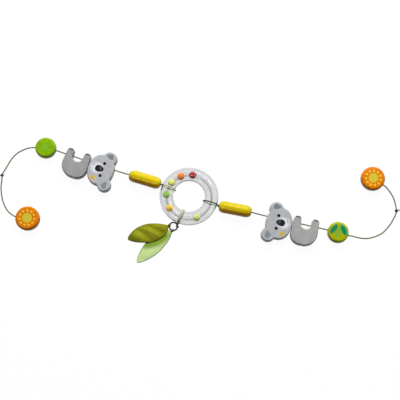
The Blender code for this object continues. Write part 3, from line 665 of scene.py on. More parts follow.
# %% Route of both tails
END_DISC_RADIUS = 0.0139
TAIL_KNOT_HEIGHT = KNOTS["large"][0] + TABLE_GAP
END_KNOT_HALF_LENGTH = KNOTS["small"][1] / 2
CUT_TAIL = 2.1 * MM
KNOT_HUMP = 5 * MM
TOUCH_GAP = 0.0003
TAILS = {
    "left": {
        "start": (-0.19470, 0.06218, 0.0050),
        "knot": (-0.23296, 0.02977),
        "knot_heading": 258.4,
        "route": [
            (-0.2053, 0.0620, 0.0026),
            (-0.2144, 0.0584, 0),
            (-0.2220, 0.0514, 0),
            (-0.2276, 0.0419, 0),
            (-0.2327, 0.0314, 0),
            (-0.2335, 0.0243, 0),
            (-0.2339, 0.0135, 0),
            (-0.2309, -0.0016, 0),
            (-0.2244, -0.0133, 0.0022),
            (-0.21404, -0.02075, 0.0050),
        ],
    },
    "right": {
        "start": (0.16924, -0.04239, 0.0050),
        "knot": (0.22676, -0.01325),
        "knot_heading": 83.9,
        "route": [
            (0.1740, -0.0433, 0.0040),
            (0.1831, -0.0449, 0.0012),
            (0.1918, -0.0454, 0),
            (0.2007, -0.0434, 0),
            (0.2098, -0.0389, 0),
            (0.2173, -0.0313, 0),
            (0.2229, -0.0230, 0),
            (0.2269, -0.0136, 0),
            (0.2256, -0.0013, 0),
            (0.2224, 0.0069, 0),
            (0.2176, 0.0136, 0.0022),
            (0.2122, 0.0172, 0.0050),
        ],
    },
}


def tail_path(name):
    """The tail's line, never lower than a cord that lies on the table.

    At the knot, which holds the cord up by its own radius, the least height has a soft hump:
    it rises by exp(-(distance / hump) squared).
    """
    side, tail = SIDES[name], TAILS[name]
    out, inward = direction(side["disc_heading"]), direction(side["end_heading"])
    start = np.array(tail["start"]) + out * TOUCH_GAP
    disc = at(side["end_disc"], FLAT_HEIGHT)
    stop = at(side["end_knot"], FLAT_HEIGHT) - inward * (END_KNOT_HALF_LENGTH + TOUCH_GAP)
    route = [start, start + out * CORD_DIAMETER, *tail["route"], disc, stop]
    path = smooth_route(route, CORD_STEP)
    away = np.linalg.norm(path[:, :2] - np.array(tail["knot"]), axis=1)
    hump = CORD_REST + (TAIL_KNOT_HEIGHT - CORD_REST) * np.exp(-((away / KNOT_HUMP) ** 2))
    path[:, 2] = np.maximum(path[:, 2], hump)
    return path


tail_paths = {name: tail_path(name) for name in TAILS}
for name, path in tail_paths.items():
    print(name, "tail length:", round(reach_along(path)[-1] / MM, 1), "mm")

# %% Make both tails and their knots
tail_pieces = {}
for name, path in tail_paths.items():
    tail, side = TAILS[name], SIDES[name]
    strand = tube(path, CORD_RADIUS)
    middle, end = at(tail["knot"], TAIL_KNOT_HEIGHT), at(side["end_knot"], FLAT_HEIGHT)
    halfway, node = name + "_halfway_knot", name + "_tail_knot"
    tail_pieces[name] = [
        piece(name + "_free_tail", [strand], cord_paint, "olive_cord", name + "_tail_cord"),
        knot(halfway, node, "large", middle, tail["knot_heading"], stub=CUT_TAIL),
        knot(name + "_end_stopper", name + "_end_knot", "small", end, side["end_heading"]),
    ]

# %% [markdown]
# ## Strung cord
#
# Between the ring and the green disc the cord runs through every bore in turn. It shows
# only between the pieces, but it is made whole, so that it is there when a piece turns.

# %% Thread the cord through the chain
BEAD_LENGTH = 0.0380
FACE_HALF_HEIGHT = 0.0152
BODY_HALF_WIDTH = 0.0161
GREEN_DISC_RADIUS = 0.0121
STRUNG_FROM = 0.0023
STRUNG_STEP = 1.5 * CORD_STEP


def strung_path(side):
    """Straight through each bore, and a soft curve from one bore to the next."""
    headings = ("bead_heading", "chain_heading", "disc_heading")
    bead, chain, disc = (direction(side[key]) for key in headings)
    mouth = at(side["bead"], BEAD_HEIGHT)
    flat = ("head", "body", "green_disc")
    head, body, green = (at(side[key], FLAT_HEIGHT) for key in flat)
    route = [
        mouth + bead * STRUNG_FROM,
        mouth + bead * BEAD_LENGTH / 2,
        mouth + bead * BEAD_LENGTH,
        head - chain * (FACE_HALF_HEIGHT + CORD_DIAMETER),
        head,
        head + chain * FACE_HALF_HEIGHT,
        body,
        body + chain * BODY_HALF_WIDTH,
        green - disc * GREEN_DISC_RADIUS,
        green,
        green + disc * GREEN_DISC_RADIUS,
    ]
    return smooth_route(route, STRUNG_STEP)


for name, side in SIDES.items():
    strand = tube(strung_path(side), CORD_RADIUS)
    piece(name + "_strung_cord", [strand], cord_paint, "olive_cord", name + "_cord")

# %% [markdown]
# ## Loops round the ring
#
# The cord holds the ring by a loop that is pulled tight round the ring's tube: straight
# from the knot to the tube, round it, and straight back. The strand on top and the strand
# below never lie exactly over each other, so they are spread a little to either side. The
# strand above and the one seen through the clear plastic are painted in different tones, the
# darker one as painted shade, so the jacket fades from one tone to the other with height.
# The knot sits in the wide mouth of the bead.

# %% Path and jacket of a loop
LOOP_RADIUS = RING_TUBE_RADIUS + TOUCH_GAP + CORD_RADIUS
LOOP_FADE = 2 * MM
LOOP_STEPS, LEAD_STEPS = 60, 8
LEAD_START = 0.25
LOOPS = {
    "left": {"angle": 155.5, "apex": 0.0370, "height": BEAD_HEIGHT, "spread": 0.3 * MM},
    "right": {"angle": -17.3, "apex": 0.0370, "height": BEAD_HEIGHT, "spread": -0.5 * MM},
    "hanger": {"angle": 248.4, "apex": 0.0365, "height": LEAF_HEIGHT, "spread": 0.3 * MM},
}


def loop_path(angle, apex, height, spread):
    """A loop in the upright plane through the ring's middle.

    In that plane the tube is a circle. Both tangents from the knot touch it at the angle
    whose cosine is the loop's radius over the knot's distance. The strand is spread across
    the plane by spread times the sine of the angle round the tube.
    """
    across, rise = apex - RING_MIDLINE_RADIUS, height - RING_HEIGHT
    towards = math.degrees(math.atan2(rise, across))
    half = math.degrees(math.acos(LOOP_RADIUS / math.hypot(across, rise)))
    turn = arc((0, 0), LOOP_RADIUS, towards + half, towards - half + 360, LOOP_STEPS)
    end = np.array([[across, rise]])
    lead = np.linspace(LEAD_START, 1, LEAD_STEPS)[:-1, None]
    leads = [end + (turn[0] - end) * lead, end + (turn[-1] - end) * lead[::-1]]
    plan = np.vstack([leads[0], turn, leads[1]])
    outward, sideways = direction(angle), direction(angle + 90)
    lean = spread * plan[:, 1:] / LOOP_RADIUS
    flat = RING_MIDDLE + (RING_MIDLINE_RADIUS + plan[:, :1]) * outward + lean * sideways
    return flat + (RING_HEIGHT + plan[:, 1:]) * np.array([0, 0, 1.0])


def loop_jacket_with_painted_shade(name, upper, lower, shade):
    """The braided jacket where one tone shows on the upper strand and one on the lower, the
    darker of them as painted shade.
    """
    material = braided(name, upper, shade)
    tree = material.node_tree
    shader = tree.nodes["Principled BSDF"]
    height = apart(tree, toy_place(tree))["Z"]
    high = fade(tree, height, RING_HEIGHT - LOOP_FADE, RING_HEIGHT + LOOP_FADE)
    jacket = shader.inputs["Base Color"].links[0].from_socket
    feed(tree, shader, Base_Color=over(tree, tone(*lower), jacket, high))
    return material


# %% Tie the loops
# Painted shade: on the right the upper strand is painted dark, on the left the lower strand a
# little darker.
LOOP_PAINTED_SHADE_TONES = {
    "left": {"upper": (236, 240, 204), "lower": (218, 226, 180), "shade": (200, 206, 160)},
    "right": {"upper": (100, 106, 66), "lower": (190, 202, 140), "shade": (52, 56, 32)},
}
KNOT_PROUD = 0.0004

for name, side in SIDES.items():
    paint = loop_jacket_with_painted_shade(name + "_loop_cord", **LOOP_PAINTED_SHADE_TONES[name])
    sideways = direction(LOOPS[name]["angle"] + 90)
    strand = tube(loop_path(**LOOPS[name]), CORD_RADIUS, upright=sideways)
    piece(name + "_loop_strand", [strand], paint, "olive_cord", name + "_ring_loop")
    heading = side["bead_heading"]
    place = at(side["bead"], BEAD_HEIGHT) - KNOT_PROUD * direction(heading)
    knot(name + "_bead_knot", name + "_loop_knot", "small", place, heading)

# %% [markdown]
# ## Clear ring
#
# The rattle ring is moulded as two half shells of clear plastic and welded along the middle,
# after the balls are in. It is modelled as it is, with a real wall: light bends at both
# faces of that wall, which draws part of the grey double lines that clear plastic shows on
# white. The rest is painted shade: the plastic is painted greyer where the wall is seen on
# edge, and the half that rests on the table carries a painted contact shadow along its middle.

# %% Shape and plastic of a half shell
RING_WALL = 0.0012
RING_STEPS = 300
SHELL_STEPS = 26
SEAM_GAP = 0.03 * MM
CLEAR_PLASTIC = {"Transmission_Weight": 0.985, "IOR": 1.46}
CLEAR_ROUGHNESS = 0.06
CLEAR_TONE = (238, 238, 239)
# Painted shade: the plastic is painted greyer where the wall is seen on edge.
CLEAR_PAINTED_EDGE_SHADE_TONE = (184, 186, 188)
CLEAR_PAINTED_EDGE_SHADE_FADE = (0.2, 0.9)
# Painted contact shadow: a grey line along the middle of the lower half.
PAINTED_CONTACT_SHADOW_TONE = (186, 188, 188)
PAINTED_CONTACT_SHADOW_FADE_MM = (2.2, 0.2)


def half_shell(upper):
    """A C-shaped section carried round the ring.

    The section is half of the tube's circle and, back again, half of the hollow's circle;
    turning it about the ring's upright axis gives the shell.
    """
    outer = arc((0, 0), RING_TUBE_RADIUS, 0, 180, SHELL_STEPS)
    inner = arc((0, 0), RING_TUBE_RADIUS - RING_WALL, 180, 0, SHELL_STEPS)
    section = np.vstack([outer, inner])
    height = np.maximum(section[:, 1], SEAM_GAP / 2) * (1 if upper else -1)
    out = RING_MIDLINE_RADIUS + section[:, 0]
    angle = np.linspace(0, math.tau, RING_STEPS, endpoint=False)[:, None]
    x, y = out * np.cos(angle), out * np.sin(angle)
    z = np.broadcast_to(RING_HEIGHT + height, x.shape)
    return grid(np.stack([x, y, z], 2) + RING_MIDDLE, wrap_rows=True)


def clear_plastic(name, resting):
    """Clear plastic with painted shade: it turns greyer where the wall is seen on edge.

    The half that rests on the table carries a painted contact shadow as a grey line: the mask
    is how close the distance from the ring's axis is to the midline's radius.
    """
    material, tree, shader = ground(name, CLEAR_TONE, CLEAR_ROUGHNESS, **CLEAR_PLASTIC)
    facing = add(tree, "LayerWeight").outputs["Facing"]
    # Painted shade: greyer where the wall is seen on edge.
    painted_edge_shade = fade(tree, facing, *CLEAR_PAINTED_EDGE_SHADE_FADE)
    shown = over(tree, tone(*CLEAR_TONE), tone(*CLEAR_PAINTED_EDGE_SHADE_TONE), painted_edge_shade)
    # Painted contact shadow along the lower half's middle.
    if resting:
        out = length_across(tree, apart(tree, own_place(tree, RING_MIDDLE, 0)))
        off = sums(tree, "ABSOLUTE", sums(tree, "SUBTRACT", out, RING_MIDLINE_RADIUS / MM))
        shown = over(tree, shown, tone(*PAINTED_CONTACT_SHADOW_TONE), fade(tree, off, *PAINTED_CONTACT_SHADOW_FADE_MM))
    feed(tree, shader, Base_Color=shown)
    return material


# %% Mould the two half shells
for name, upper in (("upper", True), ("lower", False)):
    paint, shape = clear_plastic(name + "_clear_plastic", not upper), half_shell(upper)
    shell = piece(f"clear_{name}_shell", [shape], paint, "clear_plastic", f"ring_{name}_shell")
    shell.visible_shadow = False

# %% [markdown]
# ## Rattle balls
#
# Six hollow plastic balls run loose in the ring. Each is a ball moulded in one colour, with
# the faint parting line that two mould halves leave.

# %% Mould the balls
BALL_RADIUS = 0.0044
BALL_HEIGHT = 0.0077
BALL_GLOSS = {"roughness": 0.30, "Coat_Weight": 0.1}
BALL_STEPS, BALL_SIDES = 33, 48
BALL_CLOUD_SIZE = 2.5 * MM
BALL_CLOUD_FADE = (0.3, 0.6)
BALL_DULL_SHARE = 0.86
PARTING_LINE = 0.03 * MM
PARTING_WIDTH = 0.04
BALLS = {
    "orange": (111.4, (255, 142, 26)),
    "red": (80.5, (184, 0, 6)),
    "pale_lime": (140.6, (228, 240, 114)),
    "green": (174.4, (172, 234, 76)),
    "amber": (210.6, (255, 204, 56)),
    "lime": (290.1, (220, 232, 128)),
}


def ball(place, tilt):
    """A ball turned from pole to pole: the radius is a sine, a hair larger at the parting
    line. The tilt leans its poles, because each ball has come to rest its own way."""
    latitude = np.linspace(-math.pi / 2, math.pi / 2, BALL_STEPS)
    line = PARTING_LINE * np.exp(-((latitude / PARTING_WIDTH) ** 2))
    swell = BALL_RADIUS - PARTING_LINE + line
    profile = np.stack([swell * np.sin(latitude), swell * np.cos(latitude)], 1)
    points = revolve(profile, BALL_SIDES)
    lean = math.radians(tilt)
    x = points[..., 0] * math.cos(lean) - points[..., 2] * math.sin(lean)
    z = points[..., 0] * math.sin(lean) + points[..., 2] * math.cos(lean)
    return grid(laid(np.stack([x, points[..., 1], z], 2), place, tilt))


for name, (angle, colour) in BALLS.items():
    paint, tree, shader = ground(name + "_ball_plastic", colour, **BALL_GLOSS)
    clouds = noise(tree, toy_place(tree), BALL_CLOUD_SIZE)
    dull = tone(*[BALL_DULL_SHARE * x for x in colour])
    shown = over(tree, dull, tone(*colour), fade(tree, clouds, *BALL_CLOUD_FADE))
    feed(tree, shader, Base_Color=shown)
    place = RING_MIDDLE + RING_MIDLINE_RADIUS * direction(angle) + [0, 0, BALL_HEIGHT]
    slot, node = name + "_ball", "rattle_ball_" + name
    piece("loose_ball_" + name, [ball(place, angle)], paint, slot, node)

# %% [markdown]
# ## Lacquer on wood
#
# All wooden pieces are beech or maple under two coats of water-based lacquer: an even
# colour, a little cloudier where the coat is thin, over a grain that can just be felt. The
# grain is noise that is stretched along the piece's own X axis. Patterns read coordinates
# that a Mapping node has put in the middle of the piece, in millimetres.

# %% Lacquer
FIBRE_MM = 0.55
FIBRE_STRETCH = (0.12, 1, 1)
FIBRE_STRENGTH = 0.35
CLOUD_MM = 6.0
CLOUD_FADE = (0.30, 0.68)
GLOSSIER, DULLER = -0.05, 0.08


def lacquer(
    name, colour, place, turn, mirror=1, roughness=0.3, cloud=0.10, grain=0.05, gloss=0.25
):
    """A lacquered wood: the material, and its coat, which is what a print needs of it: the
    tree, the shader, the piece's own coordinates and the clouded colour.

    Cloud is how much darker the thin places are, and grain is its height in millimetres.
    """
    material, tree, shader = ground(name, colour, roughness, Specular_IOR_Level=gloss)
    own = own_place(tree, place, turn, mirror)
    long = add(tree, "Mapping", {"Vector": own, "Scale": FIBRE_STRETCH}).outputs[0]
    fibre = noise(tree, long, FIBRE_MM, detail=4)
    clouds = noise(tree, own, CLOUD_MM, detail=3)
    halves = (sums(tree, "MULTIPLY", layer, 0.5) for layer in (fibre, clouds))
    level = sums(tree, "ADD", *halves)
    thin = tone(*[max(0, x * (1 - cloud)) for x in colour])
    full = tone(*[min(255, x * (1 + cloud / 2)) for x in colour])
    shown = over(tree, thin, full, fade(tree, level, *CLOUD_FADE))
    ranged = {"Value": clouds, "To Min": roughness + GLOSSIER, "To Max": roughness + DULLER}
    sheen = add(tree, "MapRange", ranged).outputs[0]
    bump = raised(tree, fibre, grain * MM, FIBRE_STRENGTH)
    feed(tree, shader, Base_Color=shown, Roughness=sheen, Normal=bump)
    return material, (tree, shader, own, shown)


# %% Prints
ANY_HEIGHT = 1e6


def spot(tree, own, centre, size, turn=0.0, edge=0.12, lobes=0, depth=0.0, lean=0.0):
    """Mask of a printed spot.

    Coordinates are moved, turned and scaled so that the spot becomes a circle of radius 1,
    and the distance from its middle is compared with 1. It is scaled to be so tall that
    height makes no difference. Lobes make it a flower or a rounded triangle: the limit
    becomes 1 + depth cos(lobes (angle + lean)).
    """
    feeds = {
        "Vector": own,
        "Location": (*centre, 0),
        "Rotation": (0, 0, math.radians(turn)),
        "Scale": (*size, ANY_HEIGHT),
    }
    unit = add(tree, "Mapping", feeds, vector_type="TEXTURE").outputs[0]
    away = length_of(tree, unit)
    if lobes:
        parts = apart(tree, unit)
        angle = sums(tree, "ADD", sums(tree, "ARCTAN2", parts["Y"], parts["X"]), lean)
        wave = sums(tree, "COSINE", sums(tree, "MULTIPLY", angle, lobes))
        away = sums(tree, "DIVIDE", away, sums(tree, "MULTIPLY_ADD", wave, depth, 1.0))
    return fade(tree, away, 1 + edge, 1 - edge)


def petals(tree, own, count, radius, size, edge=0.2):
    """Mask of a ring of round petals: the angle is folded into one petal's share of the
    circle, and the point is compared with a circle of that size at that radius."""
    parts = apart(tree, own)
    angle = sums(tree, "ARCTAN2", parts["Y"], parts["X"])
    turned = sums(tree, "ADD", angle, math.pi / count)
    folded = sums(tree, "SUBTRACT", angle, sums(tree, "SNAP", turned, math.tau / count))
    away = length_across(tree, parts)
    out = sums(tree, "MULTIPLY", away, sums(tree, "COSINE", folded))
    off = sums(tree, "DIVIDE", sums(tree, "SUBTRACT", out, radius), size)
    side = sums(tree, "MULTIPLY", away, sums(tree, "SINE", folded))
    point = add(tree, "CombineXYZ", {0: off, 1: sums(tree, "DIVIDE", side, size)})
    return fade(tree, length_of(tree, point.outputs[0]), 1 + edge, 1 - edge)


def printed(coat, *layers):
    """Lay printed colours one over another, and feed the result to the shader. A layer is
    an ink and its mask, or an ink and what a spot needs to make one."""
    tree, shader, own, colour = coat
    for ink, mask in layers:
        if isinstance(mask, dict):
            mask = spot(tree, own, **mask)
        colour = over(tree, colour, tone(*ink), mask)
    feed(tree, shader, Base_Color=colour)


print("grain:", FIBRE_MM, "mm wide, clouds:", CLOUD_MM, "mm wide")

# %% [markdown]
# ## Long beads
#
# A long bead is turned from a rod on a lathe: straight sides, ends rounded over like a
# capsule, a bore right through, and a wider mouth towards the ring that swallows the knot.
# So it is a closed half section turned once about its axis. The lacquer is glossier here
# than on the other pieces, and its side away from the lamp is painted deeper and warmer,
# as painted shade.

# %% Turn the beads
BEAD_RADIUS = BEAD_HEIGHT
BEAD_SIDES = 96
DOME_STEPS, RUN_STEPS = 15, 20
BEAD_DOMES = {"mouth": (0.0060, 0.0037), "far": (0.0066, 0.0046)}
BEAD_MOUTH_RADIUS = 0.0033
BEAD_MOUTH_DEPTH = 0.0034
LIP = 0.4 * MM
BEAD_TONE = (216, 194, 6)
BEAD_COAT = {"roughness": 0.16, "cloud": 0.04, "grain": 0.02, "gloss": 0.45}
BEAD_GLOSS_TINT = (1.0, 0.82, 0.45, 1)
# Painted shade: the bead's side away from the lamp is painted deeper orange.
BEAD_PAINTED_SHADE_TONE = (255, 184, 0)
BEAD_PAINTED_SHADE_MM = (-0.5, -6.0)


def bead_profile():
    """Half section: a quarter ellipse over each end, a small rounded lip, then the bore."""
    turn = np.linspace(0, math.pi / 2, DOME_STEPS)
    dome, far_dome = [
        np.stack([length * (1 - np.cos(turn)), BEAD_RADIUS - height * (1 - np.sin(turn))], 1)
        for length, height in BEAD_DOMES.values()
    ]
    far_dome = far_dome[::-1] * [-1, 1] + [BEAD_LENGTH, 0]
    far_lip = [[BEAD_LENGTH, BORE_RADIUS + LIP], [BEAD_LENGTH - LIP, BORE_RADIUS]]
    mouth = [[BEAD_MOUTH_DEPTH, BORE_RADIUS], [LIP, BEAD_MOUTH_RADIUS - LIP]]
    run = np.linspace(dome[-1, 0], far_dome[0, 0], RUN_STEPS)[1:-1, None]
    straight = np.hstack([run, np.full_like(run, BEAD_RADIUS)])
    return np.vstack([dome, straight, far_dome, far_lip, mouth])


for name, side in SIDES.items():
    place, turn = at(side["bead"], BEAD_HEIGHT), side["bead_heading"]
    lacquered = name + "_yellow_lacquer"
    paint, coat = lacquer(lacquered, BEAD_TONE, place, turn, side["mirror"], **BEAD_COAT)
    tree, shader, own, _ = coat
    shader.inputs["Specular Tint"].default_value = BEAD_GLOSS_TINT
    # Painted shade: deeper orange on the bead's own lower side, away from the lamp.
    printed(coat, (BEAD_PAINTED_SHADE_TONE, fade(tree, apart(tree, own)["Y"], *BEAD_PAINTED_SHADE_MM)))
    rod = grid(laid(revolve(bead_profile(), BEAD_SIDES), place, turn), wrap_rows=True)
    piece(name + "_turned_bead", [rod], paint, "yellow_lacquer", name + "_long_bead")

# %% [markdown]
# ## Flat wooden pieces
#
# Heads, bodies and discs are sawn from a 10 mm board, their edges rounded over with a
# router, and drilled from edge to edge for the cord. The surface starts from the outline: a
# wall, then rows that turn over the edge in a quarter circle, then the flat face. A disc's
# or a head's face is filled by rows that shrink to its middle. A body is a U, which has no
# such middle, so its face is stretched between four borders instead.

# %% Helpers for sawn pieces
EDGE_STEPS = 7
FACE_STEPS = 12
WALL_STEPS = 4
HALF_THICKNESS = WOOD_THICKNESS / 2
DRILL_SIDES = 32


def inward_normals(outline):
    """Unit vectors that point into the outline, square to the line between neighbours.

    The sign of the enclosed area, the sum of x times the next y less y times the next x,
    tells which way the outline runs.
    """
    before, after = np.roll(outline, 1, 0), np.roll(outline, -1, 0)
    ahead = after - before
    ahead = ahead / np.linalg.norm(ahead, axis=1, keepdims=True)
    area = np.sum(outline[:, 0] * after[:, 1] - outline[:, 1] * after[:, 0])
    return np.stack([-ahead[:, 1], ahead[:, 0]], 1) * np.sign(area)


def rim_rows(outline, edge):
    """Rows from the lower face's border, over both rounded edges, to the upper face's.

    At the angle a from the wall the row has moved in by edge (1 - cos a) and up to the half
    thickness less edge (1 - sin a).
    """
    angle = np.linspace(0, math.pi / 2, EDGE_STEPS + 1)
    inset, height = edge * (1 - np.cos(angle)), HALF_THICKNESS - edge * (1 - np.sin(angle))
    wall = np.linspace(-height[0], height[0], WALL_STEPS + 1)[1:-1]
    insets = np.concatenate([inset[::-1], 0 * wall, inset])
    heights = np.concatenate([-height[::-1], wall, height])
    flat = outline + insets[:, None, None] * inward_normals(outline)
    lifted = np.broadcast_to(heights[:, None, None], (*flat.shape[:2], 1))
    return np.concatenate([flat, lifted], 2)


def shrinking_face(border, middle):
    """Rows from a border to its middle: each point runs straight to the middle."""
    share = np.linspace(1, 0, FACE_STEPS + 1)[1:, None, None]
    return middle + (border - middle) * share


def stretched_face(low, high, left, right):
    """A face stretched between four borders: the mean between low and high, plus the mean
    between left and right, less the mean of the four corners."""
    s = np.linspace(0, 1, len(low))[None, :, None]
    t = np.linspace(0, 1, len(left))[:, None, None]
    between = (1 - t) * low + t * high + (1 - s) * left[:, None] + s * right[:, None]
    first, last = ((1 - t) * low[i] + t * high[i] for i in (0, -1))
    return between - (1 - s) * first - s * last


# %% Saw and drill
def sawn_round(outline, edge, middle, place, turn, mirror):
    """Wall, edges and both faces of a piece whose faces shrink to a middle."""
    rim = rim_rows(outline, edge)
    top = shrinking_face(rim[-1], at(middle, HALF_THICKNESS))
    bottom = shrinking_face(rim[0], at(middle, -HALF_THICKNESS))
    return grid(laid(np.concatenate([bottom[::-1], rim, top]), place, turn, mirror))


def bored(made, place, turn, start, end, seat=None):
    """Drill along the piece's own X axis, with a wider seat at its far end if there is one."""
    profile = [(start, 0), (start, BORE_RADIUS), (end, BORE_RADIUS), (end, 0)]
    if seat:
        depth, radius = seat
        step = end - depth
        profile[2:] = [(step, BORE_RADIUS), (step, radius), (end, radius), (end, 0)]
    drill = grid(laid(revolve(np.array(profile), DRILL_SIDES), place, turn))
    bit = put("drill", make_mesh("drill", [drill]))
    cut = made.modifiers.new("bore", "BOOLEAN")
    cut.object, cut.solver, cut.operation = bit, "EXACT", "DIFFERENCE"
    bpy.context.view_layer.update()
    ready = made.evaluated_get(bpy.context.evaluated_depsgraph_get())
    made.data = bpy.data.meshes.new_from_object(ready)
    made.modifiers.clear()
    bpy.data.objects.remove(bit)


print("board:", WOOD_THICKNESS / MM, "mm thick, bore:", round(2 * BORE_RADIUS / MM, 1), "mm")

# %% [markdown]
# ## Koala heads
#
# The head's outline is the larger of two reaches from the point between the eyes: the
# squarish oval of the face, and the circle of an ear. A high power mean of the two keeps a
# soft notch where an ear meets the face. The face itself is printed: two eyes, a tall dark
# nose on a pale muzzle, a short smile, a flower on one cheek and grey insides to the ears.
# Pieces turn freely on the cord, so both sides carry the print.

# %% Outline of the head
FACE_HALF_WIDTH = 0.0186
FACE_DROP = 0.0010
FACE_SQUARENESS = 2.2
EAR_RADIUS = 0.0081
NEAR_EAR = (0.0159, 0.0049)
FAR_EAR = (0.0155, 0.0085)
NOTCH_SOFTNESS = 26.0
HEAD_BORE_OFFSET = 0.0056
HEAD_RAYS, HALVINGS = 1440, 40


def face_reach(across, up):
    """Reach of the face's squarish oval, found by halving.

    A point is inside where |x / half width| and |y / half height|, each to the power of the
    squareness, add up to less than 1.
    """
    low, high = np.zeros_like(up), np.full_like(up, FACE_HALF_WIDTH + FACE_HALF_HEIGHT)
    for _ in range(HALVINGS):
        reach = (low + high) / 2
        wide = np.abs(across * reach / FACE_HALF_WIDTH) ** FACE_SQUARENESS
        tall = np.abs((up * reach + FACE_DROP) / FACE_HALF_HEIGHT) ** FACE_SQUARENESS
        inside = wide + tall < 1
        low, high = np.where(inside, reach, low), np.where(inside, high, reach)
    return reach


def head_outline(count):
    """The outline in the head's own frame: crown towards -X, the bore on the X axis.

    A ray leaves an ear's circle at t + the root of (radius squared - distance squared +
    t squared), where t is how far along the ray the ear's middle lies.
    """
    angle = np.linspace(0, math.tau, HEAD_RAYS, endpoint=False)
    across, up = np.cos(angle), np.sin(angle)
    reach = face_reach(across, up)
    ear_side, ear_rise = (np.where(across > 0, NEAR_EAR[i], FAR_EAR[i]) for i in range(2))
    towards = np.abs(across) * ear_side + up * ear_rise
    spare = EAR_RADIUS**2 - (ear_side**2 + ear_rise**2 - towards**2)
    meets = (spare > 0) & (towards > 0)
    ear = np.where(meets, towards + np.sqrt(np.maximum(spare, 0)), reach / 2)
    reach = reach * (1 + (ear / reach) ** NOTCH_SOFTNESS) ** (1 / NOTCH_SOFTNESS)
    outline = np.stack([-up * reach, across * reach - HEAD_BORE_OFFSET], 1)
    return spaced(np.vstack([outline, outline[:1]]), count + 1)[:-1]


# %% Saw and print the heads
FIGURE_EDGE_ROUND = 0.0015
HEAD_POINTS = 300
HEAD_DRILL = (-0.020, 0.022)
HEAD_TONE = (180, 181, 184)
HEAD_COAT = {"roughness": 0.38, "cloud": 0.05}
NOSE = (3.1, -4.9)
FLOWER = (6.85, -17.5)
EAR_PRINT = {"turn": 10, "edge": 0.15, "lobes": 3, "depth": 0.12, "lean": 0.3}
FIVE_PETALS = {"size": (3.1, 3.1), "lobes": 5, "depth": 0.16, "lean": 0.4}
NOSE_PRINT = {"size": (5.2, 4.0), "edge": 0.06, "lobes": 3, "depth": 0.06, "lean": math.pi / 3}
EYE_PRINT = {"size": (1.85, 1.85), "edge": 0.08}
SMILE_INK = (84, 84, 88)
SMILE_RADII = (8.3, 7.7)
SMILE_WINDOW = {"centre": (10.9, -1.6), "size": (2.2, 2.6), "edge": 0.15}
UNDER_SMILE = (
    ((120, 131, 136), {"centre": (-5.0, 12.6), "size": (4.2, 3.1), **EAR_PRINT}),
    ((132, 142, 148), {"centre": (-9.2, -22.0), "size": (3.1, 4.2), **EAR_PRINT}),
    ((226, 228, 236), {"centre": (6.2, -4.7), "size": (6.9, 6.3), "edge": 0.40}),
)
OVER_SMILE = (
    ((214, 182, 100), {"centre": FLOWER, **FIVE_PETALS}),
    ((190, 168, 48), {"centre": FLOWER, "size": (1.4, 1.4), "edge": 0.2}),
    ((30, 30, 32), {"centre": NOSE, **NOSE_PRINT}),
    ((96, 98, 104), {"centre": (1.6, -4.2), "size": (0.9, 1.7), "turn": -30, "edge": 0.5}),
    ((12, 12, 14), {"centre": (-0.9, 2.7), **EYE_PRINT}),
    ((12, 12, 14), {"centre": (-0.9, -12.6), **EYE_PRINT}),
)


def smile(tree, own):
    """Mask of a short curve: the rim between two circles round the nose, in one spot."""
    outer, inner = (spot(tree, own, NOSE, (r, r), edge=0.03) for r in SMILE_RADII)
    rim = sums(tree, "SUBTRACT", outer, inner)
    return sums(tree, "MULTIPLY", rim, spot(tree, own, **SMILE_WINDOW))


for name, side in SIDES.items():
    where = at(side["head"], FLAT_HEIGHT), side["chain_heading"]
    mirror, lacquered = side["mirror"], name + "_head_lacquer"
    paint, coat = lacquer(lacquered, HEAD_TONE, *where, mirror, **HEAD_COAT)
    printed(coat, *UNDER_SMILE, (SMILE_INK, smile(coat[0], coat[2])), *OVER_SMILE)
    outline, middle = head_outline(HEAD_POINTS), (0, -HEAD_BORE_OFFSET)
    board = sawn_round(outline, FIGURE_EDGE_ROUND, middle, *where, mirror)
    slot, node = "light_grey_lacquer", name + "_koala_head"
    head = piece(name + "_printed_head", [board], paint, slot, node)
    bored(head, *where, *HEAD_DRILL)

# %% [markdown]
# ## Koala bodies
#
# The body is a deep U: a round back and two arms that both hold the cord. Its outline is
# made of straight lines with an arc at each corner, and the tips of the arms are printed
# darker, as paws.

# %% Outline of the body
BODY_DEPTH = 0.0247
BACK_ROUND_BY_HEAD = 0.0120
BACK_ROUND_BY_DISC = 0.0150
ARM_REACH = 0.0079
ARM_GAP_HALF = 0.0057
ARM_GAP_DEPTH = 0.0054
ARM_GAP_FLARE = 0.0009
ARM_TAPER = 0.0016
ARM_OUTER_ROUND = 0.0037
ARM_INNER_ROUND = 0.0029
CORNER_STEPS = 40
SIDE_POINTS = 120
TIP_POINTS = 26


def corner_arc(before, here, after, radius):
    """The arc that rounds a corner, from one straight line to the next.

    With half the corner's angle as h, its middle lies radius / sin h along the bisector, and
    it touches both lines at radius / tan h from the corner.
    """
    back, on = before - here, after - here
    back, on = back / np.linalg.norm(back), on / np.linalg.norm(on)
    half = math.acos(np.clip(back @ on, -1, 1)) / 2
    middle = here + (back + on) / np.linalg.norm(back + on) * radius / math.sin(half)
    first, last = (here + line * radius / math.tan(half) - middle for line in (back, on))
    start = math.degrees(math.atan2(first[1], first[0]))
    sweep = (math.degrees(math.atan2(last[1], last[0])) - start + 180) % 360 - 180
    return arc(middle, radius, start, start + sweep, CORNER_STEPS)


